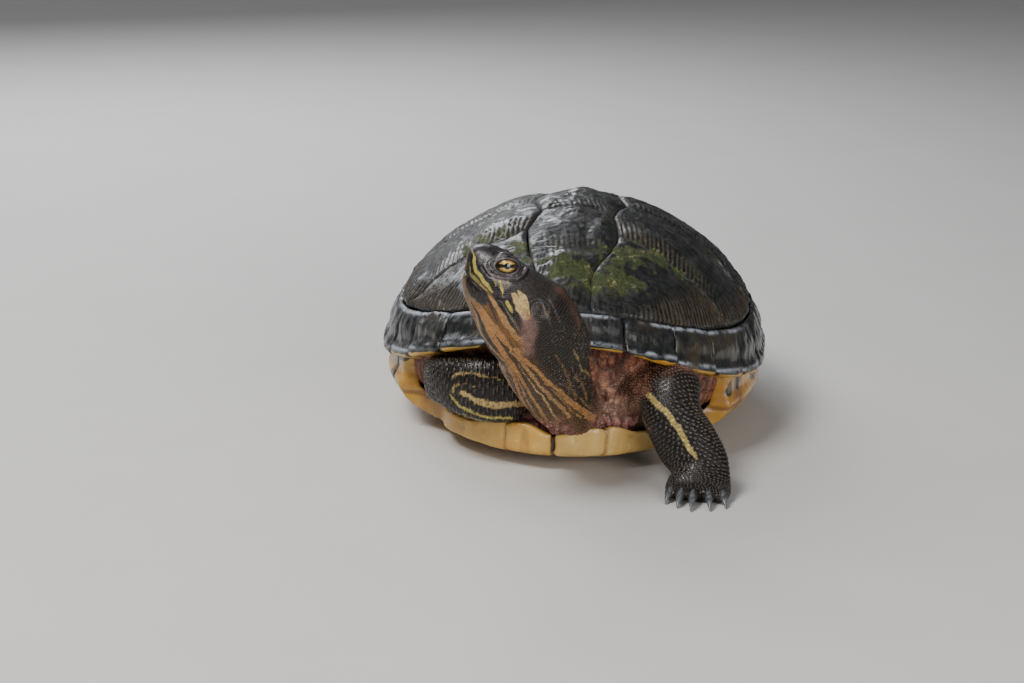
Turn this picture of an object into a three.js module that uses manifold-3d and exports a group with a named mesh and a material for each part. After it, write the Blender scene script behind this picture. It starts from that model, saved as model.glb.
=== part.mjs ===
// A pond slider turtle at life size: shell, flesh, eyes and clawed feet.
// Millimetres. +Z is up, the nose end points along -Y, and +X is the turtle's left.
// The origin is the middle of the flat under the plastron, on the floor.
import * as THREE from 'three';
import { LoftGeometry } from 'three/addons/geometries/LoftGeometry.js';
import { mergeVertices } from 'three/addons/utils/BufferGeometryUtils.js';
import Module from 'manifold-3d';

const wasm = await Module();
wasm.setup();

// ---- Driving dimensions ---------------------------------------------------
const GAP = 0.4; // between neighbouring pieces
const BEYOND = 300; // further out than any piece
const SLIVER = 50; // cubic millimetres: a cut's leftovers are smaller
const SAME_POINT = 1e-4; // corners nearer than this are one corner

// Carapace
const SHELL_LENGTH = 250;
const SHELL_WIDTH = 193;
const SHELL_HEIGHT = 110;
const APEX_Y = 0; // where the dome is highest
const OUTLINE_POWER = 2.12; // plan outline: 2 is an ellipse, more is squarer
const DOME_POWER = 1.72; // cross-section of the dome
const RIM_SIDE = 33.5; // height of the carapace edge at the flanks
const RIM_FRONT = 66; // ... over the neck
const RIM_REAR = 38; // ... over the tail
const RIM_RISE = 2.4; // how sharply the edge climbs towards the neck
const REAR_FLARE = 0.05; // the outline is this much wider behind
const RIM_DISH = 26; // the underside of the rim falls this much per whole radius inwards
const RIM_SHARES = [0.3, 0.8]; // where the dished underside has its rings, from the middle outwards
const PLATE = 4; // thickness of a scute with its bone
const RING_INNER = 0.92; // inner edge of the marginal ring, as a share of the outline
const RING_SEAM = 0.004; // the plates inside stop this share short of it
const RING_ROOM = 0.006; // ... and the flesh this share
const MARGINALS = 12; // on each side
const NUCHAL_HALF = 4.5; // half width of the nuchal scute
const MARGINAL_CUT = [0.8, 1.1]; // shares of the outline between which their seams are cut
const OUTLINE_STEPS = 720; // for measuring along half the outline
const MIDDLE_SEAM = [100, 250]; // from here to here the last two marginals are parted
const DOME_RINGS = [90, 76, 62, 48, 34, 20, 8]; // degrees down from the top of the dome
const DOME_RINGS_INSIDE = [90, 63, 37, 9];
const FINE = 32; // facets round the outside of the shell
const COARSE = 14; // ... and round what it hides

// Plastron
const PLASTRON_LENGTH = 234;
const PLASTRON_THICK = 7;
const BRIDGE_INSET = 0.5; // the bridge stops this far inside the carapace's edge
const BOWL_POWER = 2.7; // section of the underside
const BOWL_SIDE = 33;
const BOWL_FRONT = 15;
const BOWL_REAR = 14;
const BOWL_SINK = 0.9; // the bowl is cut flat this far up
const BOWL_RINGS = [90, 72, 53, 34, 16];
const BOWL_RINGS_INSIDE = [90, 60, 32, 9];
const FRONT_LIP = 18; // top of the plastron's edge under the neck
const REAR_LIP = 16;
const FRONT_HALF_WIDTH = 56;
const REAR_HALF_WIDTH = 54;
const FRONT_LOBE = [78, 114]; // the front lobe rounds off from the first to the second
const REAR_LOBE = [74, 112];
const LOBE_POWER = 1.6;
const LOBE_STEPS = 6;
const ANAL_NOTCH = 9;
const BRIDGE = [-60, 60]; // from the armpit to the groin
const ARMPIT = [[58, -68], [68, -62]]; // corners of the plan from the front lobe to the bridge
const GROIN = [[66, 62], [56, 67]]; // ... and from the bridge to the rear lobe
const LOBES_LOW = [-72, 69]; // in front of the first and behind the second the edge is cut to its lip

// Trunk
const TRUNK_LOW = [52, 104]; // half sizes where it leaves the plastron
const TRUNK_LOW_Z = 20;
const TRUNK_HIGH = 0.9; // share of the outline where it meets the rim
const TRUNK_BELOW_RIM = 3;
const TRUNK_RINGS = [0, 0.35, 0.7, 1];
const TRUNK_SPREAD = 1.6; // how late it spreads on the way up

// Head: where the point midway between the eyes is, and how the head is turned
const HEAD_AT = [-21.2, -158.7, 110.2];
const HEAD_TURN = 84.8; // degrees from straight ahead to the turtle's right
const HEAD_PITCH = 38.8; // nose up
const HEAD_ROLL = -10; // crown away from the left side
const EYE_RADIUS = 5;
const EYE_OUT = 8.4; // from the middle of the head to the centre of an eyeball

// ---- Small helpers --------------------------------------------------------
const V = (x, y, z) => new THREE.Vector3(x, y, z);
const radians = THREE.MathUtils.degToRad;
const mix = THREE.MathUtils.lerp;
const signedPower = (value, power) => Math.sign(value) * Math.abs(value) ** power;
const even = (count) => Array.from({ length: count }, (_, i) => i / count);

// A closed geometry as a manifold-3d solid, with its faces pointing out.
function solid(geometry) {
  const bare = geometry.index ? geometry.toNonIndexed() : geometry.clone();
  for (const name of Object.keys(bare.attributes)) {
    if (name !== 'position') bare.deleteAttribute(name);
  }
  const merged = mergeVertices(bare, SAME_POINT);
  const vertProperties = new Float32Array(merged.attributes.position.array);
  const triVerts = new Uint32Array(merged.index.array);
  const made = new wasm.Manifold(new wasm.Mesh({ numProp: 3, vertProperties, triVerts }));
  if (made.volume() >= 0) return made;
  for (let i = 0; i < triVerts.length; i += 3) {
    [triVerts[i + 1], triVerts[i + 2]] = [triVerts[i + 2], triVerts[i + 1]];
  }
  return new wasm.Manifold(new wasm.Mesh({ numProp: 3, vertProperties, triVerts }));
}

// A manifold-3d solid as a three.js geometry.
function geometryOf(shape) {
  const mesh = shape.getMesh();
  const geometry = new THREE.BufferGeometry();
  const corners = new Float32Array(mesh.vertProperties);
  geometry.setAttribute('position', new THREE.BufferAttribute(corners, 3));
  geometry.setIndex(new THREE.BufferAttribute(new Uint32Array(mesh.triVerts), 1));
  geometry.computeVertexNormals();
  return geometry;
}

// A closed loft; the caps need each section to wind with the way the sections travel.
function loft(sections) {
  const middle = (ring) => ring.reduce((sum, p) => sum.add(p), V(0, 0, 0)).divideScalar(ring.length);
  const [first, second] = sections.slice(0, 2).map(middle);
  const winding = sections[0].reduce((sum, p, i, ring) => {
    const next = ring[(i + 1) % ring.length];
    return sum.add(p.clone().sub(first).cross(next.clone().sub(first)));
  }, V(0, 0, 0));
  const inOrder = winding.dot(second.clone().sub(first)) > 0 ? sections : [...sections].reverse();
  return solid(new LoftGeometry(inOrder, { capStart: true, capEnd: true }));
}

// A flat outline pulled from low to high along the third axis of a frame.
function prism(points, low, high, frame = new THREE.Matrix4()) {
  const shape = new THREE.Shape(points.map(([x, y]) => new THREE.Vector2(x, y)));
  const geometry = new THREE.ExtrudeGeometry(shape, { depth: high - low, bevelEnabled: false });
  return solid(geometry.translate(0, 0, low).applyMatrix4(frame));
}

// A thin wall along a flat polyline, for cutting.
function wall(points, low, high, frame) {
  const pieces = [];
  for (let i = 1; i < points.length; i++) {
    const a = new THREE.Vector2(...points[i - 1]);
    const b = new THREE.Vector2(...points[i]);
    const along = b.clone().sub(a).normalize().multiplyScalar(GAP / 2);
    const across = new THREE.Vector2(-along.y, along.x);
    a.sub(along);
    b.add(along);
    const corners = [[a, 1], [a, -1], [b, -1], [b, 1]].map(([end, side]) => [
      end.x + across.x * side, end.y + across.y * side,
    ]);
    pieces.push(prism(corners, low, high, frame));
  }
  return wasm.Manifold.union(pieces);
}

const largest = (shape) => shape.decompose().sort((a, b) => b.volume() - a.volume())[0];
const isWhole = (shape) => shape.volume() > SLIVER;
const flip = ([x, ...rest]) => [-x, ...rest];
const mirrored = (points) => points.map(flip);
const box = (low, high) => prism(
  [[low[0], low[1]], [high[0], low[1]], [high[0], high[1]], [low[0], high[1]]], low[2], high[2],
);
const aboveFloor = box([-BEYOND, -BEYOND, 0], [BEYOND, BEYOND, BEYOND]);

// ---- The shell's own surfaces ---------------------------------------------
// t runs round the shell: 0 over the neck, 90 degrees at the left flank, 180 over the tail.
function outline(t, halfWidth = SHELL_WIDTH / 2, halfLength = SHELL_LENGTH / 2) {
  const flare = 1 - REAR_FLARE * Math.cos(t) * Math.abs(Math.sin(t));
  return [
    halfWidth * flare * signedPower(Math.sin(t), 2 / OUTLINE_POWER),
    -halfLength * signedPower(Math.cos(t), 2 / OUTLINE_POWER),
  ];
}

function heightRound(t, front, side, rear) {
  const forward = Math.max(0, Math.cos(t)) ** RIM_RISE;
  const backward = Math.max(0, -Math.cos(t)) ** 2;
  return side + (front - side) * forward + (rear - side) * backward;
}

const rimHeight = (t) => heightRound(t, RIM_FRONT, RIM_SIDE, RIM_REAR);
const turnsOf = (count) => even(count).map((share) => share * 2 * Math.PI);
const ringAt = (place, count) => turnsOf(count).map((t) => V(...place(t)));

// Everything under the dome, lowered and pulled in by inset, on top of the given rings.
function domeBody(inset, below, angles, count) {
  const rings = [...below];
  for (const angle of angles) {
    const out = Math.sin(radians(angle)) ** (2 / DOME_POWER);
    const rise = Math.cos(radians(angle)) ** (2 / DOME_POWER);
    rings.push(ringAt((t) => {
      const [x, y] = outline(t, SHELL_WIDTH / 2 - inset, SHELL_LENGTH / 2 - inset);
      return [x * out, mix(APEX_Y, y, out), mix(rimHeight(t), SHELL_HEIGHT - inset, rise)];
    }, count));
  }
  return loft(rings);
}

// The outer dome has its rim's underside dished; the inner one runs straight down.
const outerDome = () => domeBody(0, RIM_SHARES.map((share) => ringAt((t) => {
  const [x, y] = outline(t);
  return [x * share, y * share, rimHeight(t) - RIM_DISH * (1 - share)];
}, FINE)), DOME_RINGS, FINE);
const innerDome = (inset) => domeBody(inset, [ringAt((t) => {
  const [x, y] = outline(t, SHELL_WIDTH / 2 - inset, SHELL_LENGTH / 2 - inset);
  return [x, y, -BEYOND];
}, COARSE)], DOME_RINGS_INSIDE, COARSE);

// Everything above the bowl of the underside, up to a flat lid.
function bowlBody(inset, lid, angles, count) {
  const halfWidth = SHELL_WIDTH / 2 - BRIDGE_INSET - inset;
  const halfLength = PLASTRON_LENGTH / 2 - inset;
  const rings = [ringAt((t) => [...outline(t, halfWidth, halfLength), lid], count)];
  for (const angle of angles) {
    const out = Math.sin(radians(angle)) ** (2 / BOWL_POWER);
    const drop = Math.cos(radians(angle)) ** (2 / BOWL_POWER);
    rings.push(ringAt((t) => {
      const [x, y] = outline(t, halfWidth, halfLength);
      const edge = heightRound(t, BOWL_FRONT, BOWL_SIDE, BOWL_REAR);
      return [x * out, y * out, (edge + BOWL_SINK) * (1 - drop) - BOWL_SINK + inset];
    }, count));
  }
  return loft(rings);
}
const innerBowl = (inset) => bowlBody(inset, BEYOND, BOWL_RINGS_INSIDE, COARSE);

const planAt = (share) => turnsOf(FINE).map((t) => outline(t).map((v) => v * share));

// ---- Carapace -------------------------------------------------------------
// Half of the line between the vertebral and the costal scutes, [x, y] from neck to tail.
const VERTEBRAL_EDGE = [
  [16, -124], [15, -113], [13, -92], [19, -70], [22.5, -47], [18, -21], [24, 4], [17, 28], [23, 50], [12, 73],
  [28, 104], [31, 122],
];
const VERTEBRAL_SEAMS = [[19, -70], [18, -21], [17, 28], [12, 73]]; // where each pair of them meets
// Costal seams: from a corner of the line above to this many degrees round the rim, bowed forward.
const COSTAL_SEAMS = [
  { from: [22.5, -47], to: 68, bow: 5 },
  { from: [24, 4], to: 96, bow: 2 },
  { from: [23, 50], to: 124, bow: -3 },
];

// Angles round the rim at which the marginal seams fall, at even steps along the outline.
function marginalAngles() {
  const steps = OUTLINE_STEPS;
  const run = [0];
  for (let i = 1; i <= steps; i++) {
    const [x0, y0] = outline(((i - 1) / steps) * Math.PI);
    const [x1, y1] = outline((i / steps) * Math.PI);
    run.push(run[i - 1] + Math.hypot(x1 - x0, y1 - y0));
  }
  const each = (run[steps] - NUCHAL_HALF) / MARGINALS;
  return even(MARGINALS).map((share) => {
    const wanted = NUCHAL_HALF + each * MARGINALS * share;
    return (run.findIndex((r) => r >= wanted) / steps) * Math.PI;
  });
}

function costalSeam({ from, to, bow }) {
  const end = outline(radians(to));
  const middle = [(from[0] + end[0]) / 2, (from[1] + end[1]) / 2 - bow];
  return [from, middle, end];
}

function carapaceScutes() {
  const dome = outerDome();
  const core = prism(planAt(RING_INNER), -BEYOND, BEYOND);
  const ring = dome.subtract(core);
  const inside = core.subtract(prism(planAt(RING_INNER - RING_SEAM), -BEYOND, BEYOND));
  const plates = dome.intersect(core).subtract(innerDome(PLATE)).subtract(inside);

  const seams = VERTEBRAL_SEAMS.map(([x, y]) => wall([[-x, y], [x, y]], -BEYOND, BEYOND));
  const rays = [wall(MIDDLE_SEAM.map((y) => [0, y]), -BEYOND, BEYOND)];
  for (const onSide of [(points) => points, mirrored]) {
    seams.push(wall(onSide(VERTEBRAL_EDGE), -BEYOND, BEYOND));
    for (const seam of COSTAL_SEAMS) seams.push(wall(onSide(costalSeam(seam)), -BEYOND, BEYOND));
    for (const t of marginalAngles()) {
      const ray = MARGINAL_CUT.map((share) => outline(t).map((v) => v * share));
      rays.push(wall(onSide(ray), -BEYOND, BEYOND));
    }
  }
  return {
    dome,
    plates: plates.subtract(wasm.Manifold.union(seams)).decompose().filter(isWhole),
    marginals: ring.subtract(wasm.Manifold.union(rays)).decompose().filter(isWhole),
  };
}

// ---- Plastron -------------------------------------------------------------
// Half of its plan from the front notch to the rear one; the bowl itself bounds the bridge outside.
function plastronHalf() {
  const lobe = ([start, end], width) => Array.from({ length: LOBE_STEPS + 1 }, (_, i) => {
    const angle = (i / LOBE_STEPS) * (Math.PI / 2);
    const [out, on] = [Math.sin(angle), Math.cos(angle)].map((v) => Math.max(v, 0) ** (2 / LOBE_POWER));
    return [width * out, start + (end - start) * on];
  });
  const front = lobe(FRONT_LOBE, FRONT_HALF_WIDTH).map(([x, y]) => [x, -y]);
  const rear = lobe(REAR_LOBE, REAR_HALF_WIDTH).reverse().slice(0, -2);
  const [armpit, groin] = BRIDGE;
  const notch = [[ANAL_NOTCH, REAR_LOBE[1]], [0, REAR_LOBE[1] - ANAL_NOTCH]];
  return [...front, ...ARMPIT, [SHELL_WIDTH, armpit], [SHELL_WIDTH, groin], ...GROIN, ...rear, ...notch];
}

function plastronBody(dome) {
  const half = plastronHalf();
  const plan = [...half, ...mirrored(half.slice(1, -1)).reverse()];
  const [frontLow, rearLow] = LOBES_LOW;
  const shell = bowlBody(0, SHELL_HEIGHT, BOWL_RINGS, FINE)
    .subtract(innerBowl(PLASTRON_THICK))
    .intersect(prism(plan, 0, SHELL_HEIGHT / 2))
    .subtract(box([-BEYOND, -BEYOND, FRONT_LIP], [BEYOND, frontLow, BEYOND]))
    .subtract(box([-BEYOND, rearLow, REAR_LIP], [BEYOND, BEYOND, BEYOND]))
    .subtract(dome.translate([0, 0, -GAP]).add(dome));
  return largest(shell);
}

// ---- Round bodies ---------------------------------------------------------
// Each station is a centre and the two half-axes of its section, as vectors. Splines join the
// stations, and grow makes the whole body fatter. square is the section's power, and narrow is
// how much its lower half draws in.
function roundBody(stations, steps, facets, grow = 0) {
  const through = (pick) => new THREE.CatmullRomCurve3(stations.map(pick), false, 'catmullrom', 0.5);
  const [centres, ups, sides, forms] = [
    through((s) => s.at), through((s) => s.up), through((s) => s.side),
    through((s) => V(s.square ?? 2, s.narrow ?? 0, 0)),
  ];
  const sections = [];
  for (let i = 0; i <= steps; i++) {
    const [at, up, side, form] = [centres, ups, sides, forms].map((curve) => curve.getPoint(i / steps));
    up.setLength(up.length() + grow);
    side.setLength(side.length() + grow);
    sections.push(even(facets).map((share) => {
      const turn = share * 2 * Math.PI;
      const rise = signedPower(Math.sin(turn), 2 / form.x);
      const out = signedPower(Math.cos(turn), 2 / form.x) * (1 - form.y * Math.max(0, -rise));
      return at.clone().addScaledVector(up, rise).addScaledVector(side, out);
    }));
  }
  return loft(sections);
}

// Stations of a limb from [x, y, z, half width, half depth] rows; across is the way its width lies.
function limbStations(rows, across) {
  const path = new THREE.CatmullRomCurve3(rows.map(([x, y, z]) => V(x, y, z)), false, 'catmullrom', 0.5);
  return rows.map(([x, y, z, wide, deep], i) => {
    const along = path.getTangent(i / (rows.length - 1));
    const side = V(...across[Math.min(i, across.length - 1)]).normalize();
    side.addScaledVector(along, -side.dot(along)).normalize();
    const up = V(0, 0, 0).crossVectors(along, side).normalize();
    return { at: V(x, y, z), up: up.multiplyScalar(deep), side: side.multiplyScalar(wide) };
  });
}

// ---- Head and neck --------------------------------------------------------
const turn = radians(HEAD_TURN);
const pitch = radians(HEAD_PITCH);
const level = Math.cos(pitch);
const ahead = V(-Math.sin(turn) * level, -Math.cos(turn) * level, Math.sin(pitch));
const leftward = V(0, 0, 0).crossVectors(V(0, 0, 1), ahead).normalize();
leftward.applyAxisAngle(ahead, radians(-HEAD_ROLL));
const crownward = V(0, 0, 0).crossVectors(ahead, leftward).normalize();
const headFrame = new THREE.Matrix4().makeBasis(ahead, crownward, leftward).setPosition(...HEAD_AT);
const inHead = (forward, rise, left) => V(forward, rise, left).applyMatrix4(headFrame);

// From the shoulders up: centre, lean of the section from level in degrees, half depth, half width.
const NECK = [
  { at: [13, -78, 22], lean: 30, deep: 16, wide: 15 },
  { at: [8.8, -97, 25.5], lean: 31, deep: 15.5, wide: 15 },
  { at: [3.6, -114, 37], lean: 32, deep: 16, wide: 14.8 },
  { at: [0.3, -131, 50.5], lean: 36, deep: 17.8, wide: 15.5 },
  { at: [-1.7, -144, 61.7], lean: 40, deep: 19.7, wide: 16.5 },
  { at: [-2.9, -152.5, 71.4], lean: 45.5, deep: 21.4, wide: 17.4 },
];
// From the nape to the nose: place ahead of the eyes, crown and throat measured from the eyes'
// level, and half width.
const HEAD = [
  { ahead: -29, crown: 8.6, throat: -35, wide: 18, square: 2.1, narrow: 0.1 },
  { ahead: -21.7, crown: 8.2, throat: -34, wide: 18.4, square: 2.3, narrow: 0.2 },
  { ahead: -13, crown: 6.8, throat: -31.5, wide: 17.6, square: 2.5, narrow: 0.3 },
  { ahead: -6, crown: 5.7, throat: -28, wide: 15.8, square: 2.7, narrow: 0.36 },
  { ahead: 1.4, crown: 5.2, throat: -24.3, wide: 14.2, square: 2.8, narrow: 0.38 },
  { ahead: 6.5, crown: 4.3, throat: -21.3, wide: 11.4, square: 2.7, narrow: 0.38 },
  { ahead: 9.6, crown: 3.2, throat: -18.2, wide: 9.3, square: 2.5, narrow: 0.36 },
  { ahead: 12.4, crown: 1.3, throat: -12.8, wide: 7, square: 2.4, narrow: 0.3 },
  { ahead: 14.7, crown: -1.1, throat: -9, wide: 4.7, square: 2.2, narrow: 0.2 },
  { ahead: 15.7, crown: -3.2, throat: -6.5, wide: 2, square: 2, narrow: 0 },
];
// Cuts across the head, drawn from its left side and run on until they are clear of it.
const MOUTH = [[20, -15.2], [9.2, -14.9], [1.6, -15], [-3.3, -14.5], [-9.8, -9.8], [-13.5, -50]];
const NAPE_CUT = [[-27, 40], [-25, -12], [-18, -60]];
const HEAD_REACH = 40; // further to each side than the head

function headAndNeckStations() {
  const neckPath = new THREE.CatmullRomCurve3(NECK.map(({ at }) => V(...at)), false, 'catmullrom', 0.5);
  const neck = NECK.map(({ at, lean, deep, wide }, i) => {
    const along = neckPath.getTangent(i / (NECK.length - 1));
    const up = V(Math.cos(radians(lean)), 0, Math.sin(radians(lean)));
    up.addScaledVector(along, -up.dot(along)).normalize();
    const side = V(0, 0, 0).crossVectors(up, along).normalize();
    return { at: V(...at), up: up.multiplyScalar(deep), side: side.multiplyScalar(wide) };
  });
  const head = HEAD.map(({ ahead: forward, crown, throat, wide, square, narrow }) => ({
    at: inHead(forward, (crown + throat) / 2, 0),
    up: crownward.clone().multiplyScalar((crown - throat) / 2),
    side: leftward.clone().multiplyScalar(wide),
    square,
    narrow,
  }));
  return [...neck, ...head];
}

function eyeball(side, grow = 0) {
  const out = side === 'left' ? EYE_OUT : -EYE_OUT;
  const ball = new THREE.SphereGeometry(EYE_RADIUS + grow, 12, 7);
  return solid(ball.translate(...inHead(0, 0, out).toArray()));
}

// ---- Limbs and tail -------------------------------------------------------
// Rows run from the body outwards: [x, y, z, half width, half depth].
const LEFT_ARM = {
  rows: [
    [34, -82, 34, 15, 13], [45, -96, 40, 16, 13], [53.5, -107, 40.5, 15.5, 12],
    [55, -115, 32.5, 14, 9.5], [62.8, -122, 21.5, 14.5, 8.2],
    [69.2, -127, 13.5, 13.6, 7.2], [69.8, -132.5, 7.8, 14.4, 6.2], [69.2, -138, 4.1, 15.2, 4.8],
    [69, -143, 3, 13.8, 3.6],
  ],
  across: [
    [0.8, 0, 0.5], [0.8, 0, 0.5], [0.85, 0, 0.5], [0.83, 0.2, 0.55], [0.85, 0.1, 0.5], [0.95, 0, 0.25],
    [1, 0, 0],
  ],
  wrist: { at: [68, -126.5, 14], facing: [0.35, -0.55, -0.75] },
  toes: [
    [[60, -134, 6], [56.8, -141, 3.4], [55.2, -149, 0.6]],
    [[63, -137, 6], [61.6, -144.5, 3.8], [60.7, -153.5, 0.6]],
    [[67.5, -138, 6], [67.2, -146.5, 4], [67, -157, 0.6]],
    [[73, -137, 6], [74.4, -145, 3.8], [75.6, -154.5, 0.6]],
    [[77.5, -134, 6], [80.6, -141.5, 3.4], [82.6, -149.5, 0.6]],
  ],
};
const RIGHT_ARM = {
  rows: [
    [-14, -93, 37, 14, 11], [-21, -106.5, 37.5, 16, 9.5], [-34, -109, 37.5, 16.3, 9],
    [-46, -106, 37.5, 14, 8.3], [-54.5, -99, 37, 11.5, 7], [-59.5, -90, 35, 10.5, 5.5],
    [-61.5, -82, 33, 9, 3.5],
  ],
  across: [[0, 0, 1]],
  wrist: { at: [-54.5, -99, 37], facing: [-0.65, 0.75, -0.1] },
  toes: [
    [[-60, -88, 42], [-62, -81, 41.5], [-61.5, -74.5, 38.5]],
    [[-60.5, -88, 37], [-62.6, -79.5, 36.5], [-62, -72.5, 34]],
    [[-60.5, -88, 33], [-62.6, -79.5, 31.5], [-62, -72.5, 29]],
    [[-60, -88, 29], [-62, -81, 27], [-61.5, -74.5, 24.5]],
  ],
};
const LEFT_LEG = {
  rows: [
    [46, 70, 26, 16, 13.5], [66, 72, 20, 13, 11], [71, 81, 13.5, 10.5, 9],
    [71, 91, 8.2, 9.5, 7.5], [73, 99, 5, 11, 5.6], [77, 106, 3.6, 12.5, 4.4], [80, 110, 2.8, 11.5, 3.2],
  ],
  across: [[0, 0.4, 1], [0.5, 0.5, 0.7], [1, -0.4, 0.2], [1, -0.6, 0]],
  wrist: { at: [71.2, 92, 8], facing: [0.15, 0.85, -0.45] },
  toes: [
    [[69, 104, 4], [70.5, 111, 3.2], [73, 117.5, 0.6]],
    [[74, 106.5, 4], [77, 113, 3.4], [81, 119.5, 0.6]],
    [[78.5, 105.5, 4], [83, 110.5, 3.4], [88.5, 115, 0.6]],
    [[82, 102, 4], [87, 105.5, 3.2], [92.5, 108, 0.6]],
  ],
};
const TAIL = [
  [0, 97, 25, 10.5, 9], [1, 105, 21.5, 9, 8], [4, 116, 14, 7, 6.3], [9, 128, 7, 5, 4.6],
  [16, 138, 3, 3.4, 3.2], [24, 146, 1.4, 1.8, 1.7],
];
const NEARLY_UP = V(0.1, 0.2, 1); // not along any wrist
const LIMB_FACETS = 8;
const TAIL_FACETS = 8;
const NECK_FACETS = 14;
const STEPS_EACH = 1.2; // cross-sections for each station of a limb or the neck
const TOE_RADIUS = 3;
const CLAW_ROOT = 1.5; // at the middle of a claw
const CLAW_TIP = 0.45;
const CLAW_ARCH = 1.2;
const TOE_FACETS = 5;

// One toe with its claw: from inside the foot over the knuckle to the tip of the claw.
function toe([root, knuckle, tip], grow) {
  const [a, b, c] = [V(...root), V(...knuckle), V(...tip)];
  const bend = b.clone().lerp(c, 0.5).add(V(0, 0, CLAW_ARCH));
  const rows = [[a, TOE_RADIUS], [b, TOE_RADIUS * 0.8], [bend, CLAW_ROOT], [c, CLAW_TIP]];
  const stations = limbStations(rows.map(([p, radius]) => [...p, radius, radius]), [[1, 0, 0.1]]);
  return roundBody(stations, rows.length - 1, TOE_FACETS, grow);
}

// A limb whole, then parted at the wrist or ankle.
function limb({ rows, across, wrist, toes }, grow = 0) {
  const steps = Math.round(rows.length * STEPS_EACH);
  const whole = roundBody(limbStations(rows, across), steps, LIMB_FACETS, grow);
  const parts = wasm.Manifold.union([whole, ...toes.map((points) => toe(points, grow))]);
  return grow > 0 ? parts : splitAt(parts.intersect(aboveFloor), wrist);
}

// Cuts a solid by a thin slab across a point, and gives the near part and the far part.
function splitAt(shape, { at, facing }) {
  const normal = V(...facing).normalize();
  const frame = new THREE.Matrix4().lookAt(V(0, 0, 0), normal.clone().negate(), NEARLY_UP);
  frame.setPosition(...at);
  const square = [[-BEYOND, -BEYOND], [BEYOND, -BEYOND], [BEYOND, BEYOND], [-BEYOND, BEYOND]];
  return {
    near: shape.intersect(prism(square, -BEYOND, -GAP / 2, frame)),
    far: shape.intersect(prism(square, GAP / 2, BEYOND, frame)),
  };
}

const flipLimb = ({ rows, across, wrist, toes }) => ({
  rows: rows.map(flip),
  across: across.map(flip),
  wrist: { at: flip(wrist.at), facing: flip(wrist.facing) },
  toes: toes.map((points) => points.map(flip)),
});

// ---- Trunk ----------------------------------------------------------------
// A sagging fold of skin from the base of the neck round to the bridge, which fills the pocket
// behind the foreleg.
const FOLD = [
  [14, -84, 24, 14, 10], [30, -95, 27, 15, 12], [46, -90, 28, 14, 14], [62, -80, 29, 13, 13],
  [76, -66, 31, 11, 12], [82, -50, 32, 8, 9],
];
const FOLD_FACETS = 6;
const fold = (rows) => roundBody(limbStations(rows, [[0, 0, 1]]), FOLD.length - 2, FOLD_FACETS);

// The flesh inside the shell: it leaves the plastron's lobes and spreads out to the rim.
function trunkBody(taken) {
  const [lowWidth, lowLength] = TRUNK_LOW;
  const rings = [ringAt((t) => [...outline(t, lowWidth, lowLength), -BEYOND], COARSE)];
  for (const share of TRUNK_RINGS) {
    rings.push(ringAt((t) => {
      const [x0, y0] = outline(t, lowWidth, lowLength);
      const [x1, y1] = outline(t).map((v) => v * TRUNK_HIGH);
      const spread = share ** TRUNK_SPREAD;
      const z = mix(TRUNK_LOW_Z, rimHeight(t) - TRUNK_BELOW_RIM, share);
      return [mix(x0, x1, spread), mix(y0, y1, spread), z];
    }, COARSE));
  }
  rings.push(ringAt((t) => [...outline(t).map((v) => v * TRUNK_HIGH), SHELL_HEIGHT], COARSE));
  return loft(rings)
    .add(fold(FOLD))
    .add(fold(FOLD.map(flip)))
    .intersect(innerDome(PLATE + GAP))
    .intersect(innerBowl(PLASTRON_THICK + GAP))
    .subtract(wasm.Manifold.union(taken));
}

// ---- The model ------------------------------------------------------------
const turtle = new THREE.Group();
turtle.name = 'slider_turtle';

function addNode(name, shape, material) {
  const mesh = new THREE.Mesh(geometryOf(shape), material);
  mesh.name = name;
  turtle.add(mesh);
}

const finish = (color, roughness) => new THREE.MeshStandardMaterial({ color, roughness, metalness: 0 });
const SCUTE = finish(0x2b2d26, 0.35);
const MARGIN = finish(0x34301f, 0.35);
const YELLOW_SHELL = finish(0xd3a445, 0.4);
const SKIN = finish(0x3a3526, 0.6);
const EYE = finish(0xb08a3a, 0.1);

const centreOf = (shape) => {
  const { min, max } = shape.boundingBox();
  return [(min[0] + max[0]) / 2, (min[1] + max[1]) / 2];
};
const sideOf = (shape) => (centreOf(shape)[0] > 0 ? 'left' : 'right');
const onMiddle = (shape) => Math.abs(centreOf(shape)[0]) < 2;
const fromFront = (a, b) => centreOf(a)[1] - centreOf(b)[1];

// Shell
const { dome, plates, marginals } = carapaceScutes();
addNode('nuchal', marginals.find(onMiddle), MARGIN);
plates.filter(onMiddle).sort(fromFront).forEach((plate, i) => addNode(`vertebral_${i + 1}`, plate, SCUTE));
for (const side of ['left', 'right']) {
  const beside = (list) => list.filter((shape) => !onMiddle(shape) && sideOf(shape) === side);
  beside(plates).sort(fromFront).forEach((plate, i) => addNode(`costal_${side}_${i + 1}`, plate, SCUTE));
  const round = (shape) => Math.atan2(Math.abs(centreOf(shape)[0]), -centreOf(shape)[1]);
  beside(marginals).sort((a, b) => round(a) - round(b)).forEach((plate, i) => {
    addNode(`marginal_${side}_${String(i + 1).padStart(2, '0')}`, plate, MARGIN);
  });
}
const plastron = plastronBody(dome);
addNode('plastron', plastron, YELLOW_SHELL);

// The room the shell takes up, with the gap around it
const ringRoom = dome.subtract(prism(planAt(RING_INNER - RING_ROOM), -BEYOND, BEYOND));
const shellSolid = dome.subtract(innerDome(PLATE + GAP)).add(ringRoom);
const shellRoom = shellSolid.translate([0, 0, -GAP]).add(shellSolid);
const plastronRoom = plastron.translate([0, 0, -GAP]).add(plastron).add(plastron.translate([0, 0, GAP]));

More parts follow.
